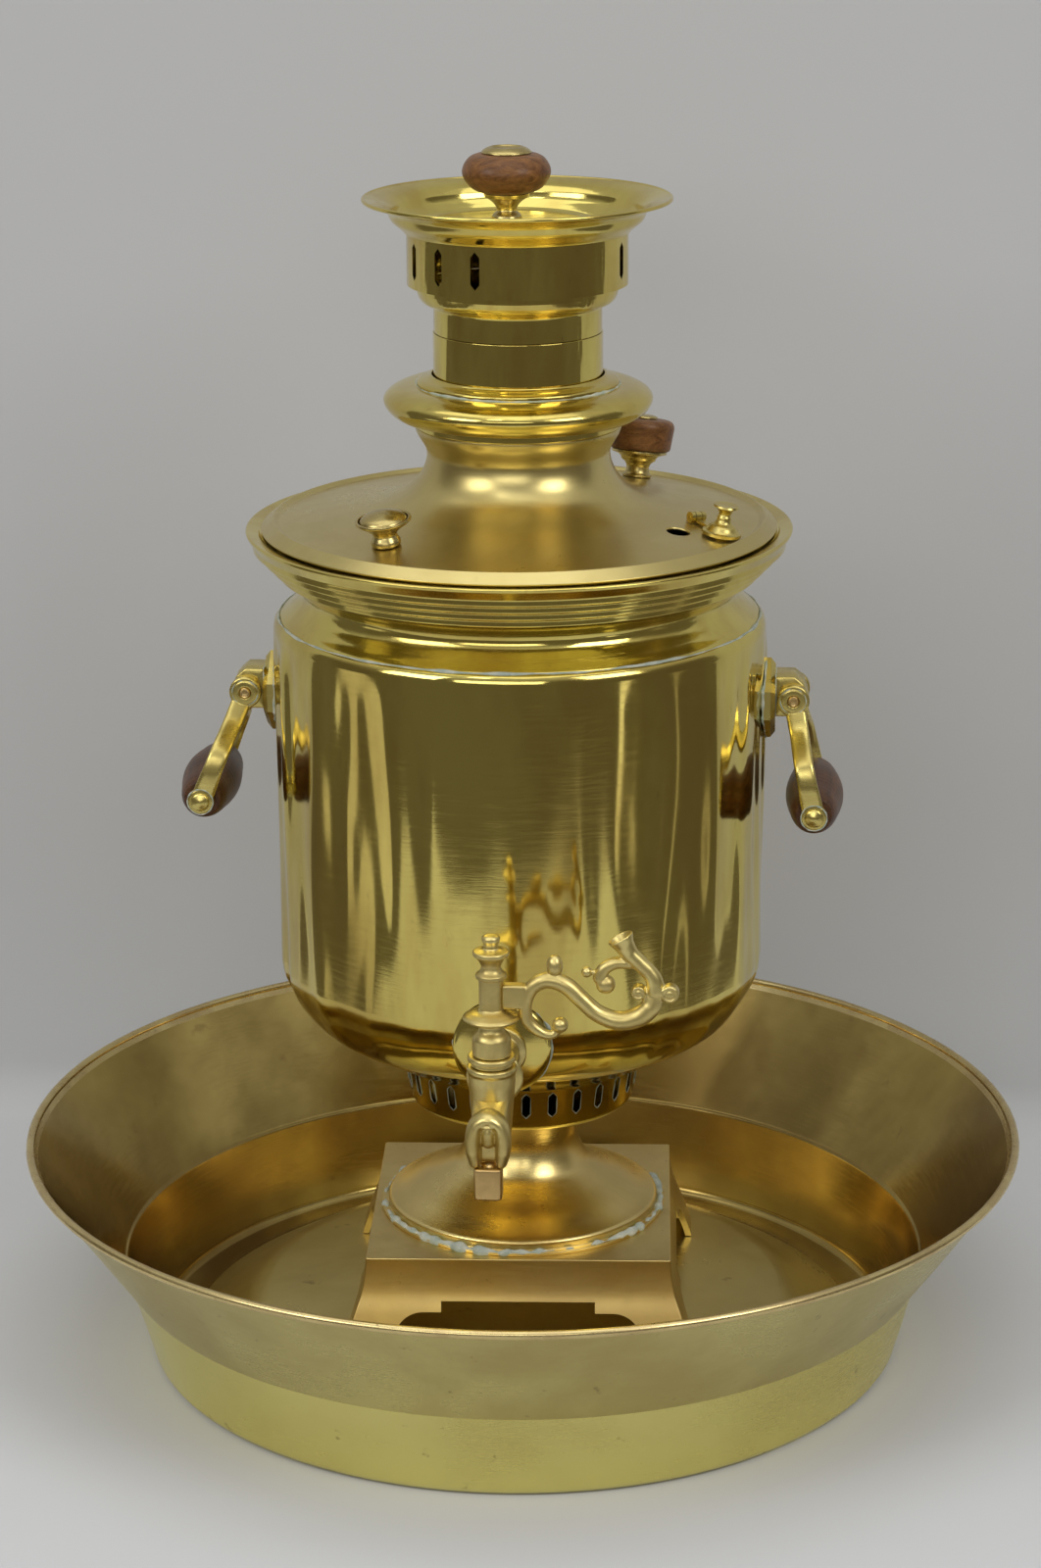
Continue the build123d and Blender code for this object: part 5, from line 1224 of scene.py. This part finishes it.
# ---- plinth ----
def squared(outline, bend_radius):
    """Grid of an outline carried round a square with rounded corners: its radius is the square's half
    width, its height the level. A point is a point of the inner square, moved out square to the side,
    or round the corner, by the corner's radius."""
    count = 26
    along_side, bend = np.linspace(-1, 1, count), np.linspace(0, np.pi / 2, 6)[1:-1]
    flat_way, corner = np.array([[0.0, -1.0]]), np.array([[1.0, -1.0]])
    inner = np.vstack([np.column_stack([along_side, -np.ones(count)]), corner.repeat(len(bend), 0)])
    way = np.vstack([flat_way.repeat(count, 0), np.column_stack([np.sin(bend), -np.cos(bend)])])
    quarter = np.array([[0, 1], [-1, 0]])
    inner = np.vstack([inner @ np.linalg.matrix_power(quarter, k) for k in range(4)])
    way = np.vstack([way @ np.linalg.matrix_power(quarter, k) for k in range(4)])
    half, level = outline[:, 0][:, None, None], outline[:, 1]
    radius = np.minimum(bend_radius, 0.3 * half)
    flat = inner[None] * (half - radius) + way[None] * radius
    return np.dstack([flat, np.repeat(level[:, None], len(inner), 1)]), False, True


def make_plinth():
    """Square foot of sheet with hollow flanks and a stepped opening in each side."""
    flank = route(
        (0, PLINTH_TOP), (69.4, PLINTH_TOP),
        ((80.4, FOOT), (0.145, 0.34), (0.46, 0.585), (0, -1), (0.3, -1)),
    )
    inner = route(
        (77.4, FOOT), (77.4, FOOT + 0.1),
        ((66.4, PLINTH_TOP - 3), (0.54, 0.415), (0.855, 0.66), (-0.3, 1), (0, 1)), (0, PLINTH_TOP - 3),
    )
    edge = np.array([(80.4, FOOT), (77.4, FOOT)])
    outline = softened([*lines_of(flank), edge, *lines_of(inner)], 0.6, 2.0, closed=False)
    bent = dents(0.22, 60, -80, 80, 22, 22, 9)
    grid, wrap_rows, wrap_columns = squared(outline, 1.0)
    out = np.hypot(grid[..., 0], grid[..., 1])
    round_at = np.arctan2(grid[..., 0], -grid[..., 1])
    grid[..., 2] += np.where(out > 1, bent(out, round_at, 0 * out), 0) * 0.5
    piece = make_piece("plinth_sheet", [(grid, wrap_rows, wrap_columns)])
    low, shoulder, top = FOOT - 3, FOOT + 18.6, FOOT + 23.4
    t = np.linspace(0, np.pi / 2, 9)
    curve = [(43.5 + 13 * math.cos(a), shoulder - 13 + 13 * math.sin(a)) for a in t]
    right = [(56.5, low)] + curve + [(35, shoulder), (35, top)]
    opening = np.array(right + [(-x, z) for x, z in right[::-1]])
    for quarter in (0, 1):
        rings = [
            np.insert((opening - [0, shoulder]) * k + [0, shoulder], 1, y, axis=1)
            for y, k in ((-140, 0), (-140, 1), (140, 1), (140, 0))
        ]
        drill = make_piece("drill", [placed((np.array(rings), False, True), spin("Z", 90 * quarter))])
        cut_by(piece, drill)
    piece.data.transform(spin("Z", 2.6))
    piece.data.set_sharp_from_angle(angle=math.radians(32))
    finish_piece(piece, "samovar", "worn_brass", plinth_brass, "plinth")


# ---- seams ----
def seam_ring(name, body, radius, level, thick, seed):
    """Old solder in a seam: a thin bead along a circle, its thickness and place wandering."""
    angle = full_turn(360)
    drift = drifts(seed, len(angle), np.arange(3, 60))
    fat = thick * np.clip(1 + 0.33 * drift[0], 0.25, 2.2)
    r0, z0 = radius + 0.12 * thick * drift[1], level + 0.12 * thick * drift[2]
    turn = full_turn(8)[:, None]
    r, z = r0 + fat * np.cos(turn), z0 + fat * np.sin(turn)
    points = np.stack([r * np.sin(angle), -r * np.cos(angle), z], -1)
    add(name, [(points, True, True)], body, "worn_brass", seam)


def make_vent_rims():
    """Pale deposits round the air slots: a thin tube along each slot's pointed outline."""
    slots, half, high, point = 28, 2.0, 6.3, 2.0
    low, level, bottom, flare, tall = 51.9, 13.6, 3.0, 2.9, 17.5
    right = [(0, -high), (half, point - high), (half, high - point)]
    outline = rounded_outline(right + [(-x, -z) for x, z in right], 0.4, 1.2)
    parts = []
    x, z = outline.T
    radius = low + flare * (z + level - bottom) / tall + 0.1
    line = np.column_stack([x, -np.sqrt(radius**2 - x**2), z + VENT_BASE + level])
    for index in range(slots):
        turn = spin("Z", 360 / slots * (index + 0.5))
        parts.append(placed(wandering(line, 0.17, 300 + index, 6, (0, 1, 0.01)), turn))
    add("vent_slot_rims", parts, "samovar", "worn_brass", seam)


for maker in (
    make_basin, make_pedestal, make_vessel, make_neck_ring, make_fire_tube, make_lid, make_lid_collar,
    make_collar_ring, make_front_knob, make_rear_knob, make_crown_dish, make_chimney_cap, make_tap_body,
    make_tap_spout, make_tap_outlet, make_tap_washer, make_tap_key, make_tap_lever,
):
    maker()
make_handle("left", 22.0)
make_handle("right", 12.0)
make_plinth()
seam_ring("pedestal_seam", "samovar", 64.6, PLINTH_TOP + 1.0, 1.5, 41)
plate_line = circle_at(21.7, 0, 120)
plate_line[:, 1] = -np.sqrt(109.9**2 - plate_line[:, 0] ** 2) + 1.2
plate_seam = wandering(plate_line + [0, 0, TAP_HEIGHT], 0.6, 44, 7, (0, 1, 0.01))
add("tap_plate_seam", [plate_seam], "samovar", "worn_brass", seam)
make_vent_rims()
seam_ring("shoulder_seam", "samovar", 107.9, SHOULDER, 0.6, 42)
seam_ring("collar_seam", "lid", 45.0, COLLAR_RING + 0.1, 0.45, 43)


# ---- CAD nodes that stay, each with its finish ----
# the handles, what they hang on, and the steam vent
HINGED = ("left_", "right_", "vent_p", "vent_b", "vent_c")
KEPT = {
    turned_brass: ["vent_ring", "tap_escutcheon"],
    tube_brass: ["crown_spigot", "crown_neck", "crown_band"],
    lid_brass: ["lid_skirt"],
    tap_brass: ["tap_nut"],
    handle_brass: [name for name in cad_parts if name.startswith(HINGED) and "grip" not in name],
    sooty: ["grate", "left_grip_rod", "right_grip_rod"],
}
for material, names in KEPT.items():
    for name in names:
        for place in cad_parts[name].material_slots:
            place.material = material


# ---- floor and backdrop ----
def make_backdrop():
    """Paper sweep: a flat floor that turns up behind the object in a small arc into a wider wall. The
    half width grows from the floor's to the wall's over the arc."""
    front, back, turn, top = -830.0, 262.0, 26.0, 1500.0
    arc = np.linspace(0, np.pi / 2, 10)
    flat = np.linspace(front, back - turn, 12)
    y = np.concatenate([flat, back - turn + turn * np.sin(arc[1:]), [back, back]])
    z = np.concatenate([np.zeros(12), turn - turn * np.cos(arc[1:]), [700.0, top]])
    half = np.interp(z, [0, turn], [560.0, 1150.0])
    x = half[:, None] * np.linspace(-1, 1, 13)[None, :]
    points = np.stack(np.broadcast_arrays(x, y[:, None], z[:, None]), -1)
    mesh = bpy.data.meshes.new("backdrop")
    mesh.from_pydata(points.reshape(-1, 3) * MM, [], grid_faces(*x.shape, False, False).tolist())
    return linked("backdrop", mesh)


def paper(name, colour):
    """Plain matt paper. Seen from behind it lets the view through, so that the back can be looked at."""
    material, tree, _ = start_material(name)
    matt = node(tree, "ShaderNodeBsdfDiffuse", {"Color": (*colour, 1), "Roughness": 0.3})
    clear = node(tree, "ShaderNodeBsdfTransparent")
    behind = node(tree, "ShaderNodeNewGeometry").outputs["Backfacing"]
    mix = node(tree, "ShaderNodeMixShader", {"Fac": behind, 1: matt.outputs[0], 2: clear.outputs[0]})
    node(tree, "ShaderNodeOutputMaterial", {"Surface": mix.outputs[0]})
    return material


backdrop = make_backdrop()
backdrop.data.materials.append(paper("pale_paper", (0.635, 0.64, 0.65)))


# ---- light and camera ----
def soft_light(name, place, aim, size, power):
    """A rectangular soft light at a place, turned towards a height on the axis; sizes in metres."""
    lamp = bpy.data.lights.new(name, "AREA")
    lamp.shape = "RECTANGLE"
    lamp.size, lamp.size_y = size
    lamp.energy = power
    holder = bpy.data.objects.new(name, lamp)
    holder.location = place
    holder.rotation_euler = (Vector((0, 0, aim)) - Vector(place)).to_track_quat("-Z", "Y").to_euler()
    holder.visible_camera = False
    bpy.context.collection.objects.link(holder)


for light in (
    ("overhead", (-0.1, -0.1, 2.3), 0.1, (2.6, 1.8), 13),
    ("front_left", (-1.5, -1.4, 1.5), 0.1, (1.1, 0.9), 12),
    ("front_right", (1.5, -1.3, 1.6), 0.1, (1.0, 0.9), 13),
    ("front_soft", (-0.15, -1.9, 1.0), 0.2, (1.4, 0.5), 5),
    ("key", (-0.45, -1.2, 2.0), 0.3, (0.3, 0.3), 1.2),
    ("left_strip", (-1.26, -0.34, -0.08), 0.3, (0.34, 0.3), 0.16),
    ("right_strip", (1.02, -0.8, -0.04), 0.3, (0.12, 0.16), 0.06),
    ("side_strip", (1.28, -0.24, -0.08), 0.3, (0.1, 0.3), 0.03),
):
    soft_light(*light)

world = bpy.data.worlds.new("room")
bpy.context.scene.world = world
world.use_nodes = True
tree = world.node_tree
tree.nodes.clear()
where = node(tree, "ShaderNodeTexCoord").outputs["Generated"]
height = node(tree, "ShaderNodeSeparateXYZ", {0: where}).outputs["Z"]
rise = spread(tree, height, 0.35, 0.75, "SMOOTHSTEP")
tone = blend(tree, rise, (0.13, 0.12, 0.1, 1), (0.5, 0.5, 0.5, 1))
room = node(tree, "ShaderNodeBackground", {"Strength": 1.0, "Color": tone})
node(tree, "ShaderNodeOutputWorld", {"Surface": room.outputs[0]})


def make_camera():
    """Camera 1.66 m from the axis and 0.77 m up, a little to the right, looking down 17 degrees."""
    turn, pitch, roll = math.radians(4.57), math.radians(16.917), math.radians(-0.326)
    distance, height, focus = 1.65617, 0.77286, 3874.2
    data = bpy.data.cameras.new("camera")
    data.sensor_width = 36.0
    data.lens = focus / 1600 * 36.0
    data.clip_start, data.clip_end = 0.05, 20
    holder = bpy.data.objects.new("camera", data)
    bpy.context.collection.objects.link(holder)
    level = math.cos(pitch)
    ahead = Vector((-math.sin(turn) * level, math.cos(turn) * level, -math.sin(pitch)))
    right = Vector((math.cos(turn), math.sin(turn), 0))
    up = right.cross(ahead)
    across = right * math.cos(roll) + up * math.sin(roll)
    upright = up * math.cos(roll) - right * math.sin(roll)
    turned_axes = Matrix((across, upright, -ahead)).transposed().to_4x4()
    place = shift(distance * math.sin(turn), -distance * math.cos(turn), height)
    holder.matrix_world = place @ turned_axes
    bpy.context.scene.camera = holder


make_camera()
bpy.context.scene.view_settings.view_transform = "Standard"
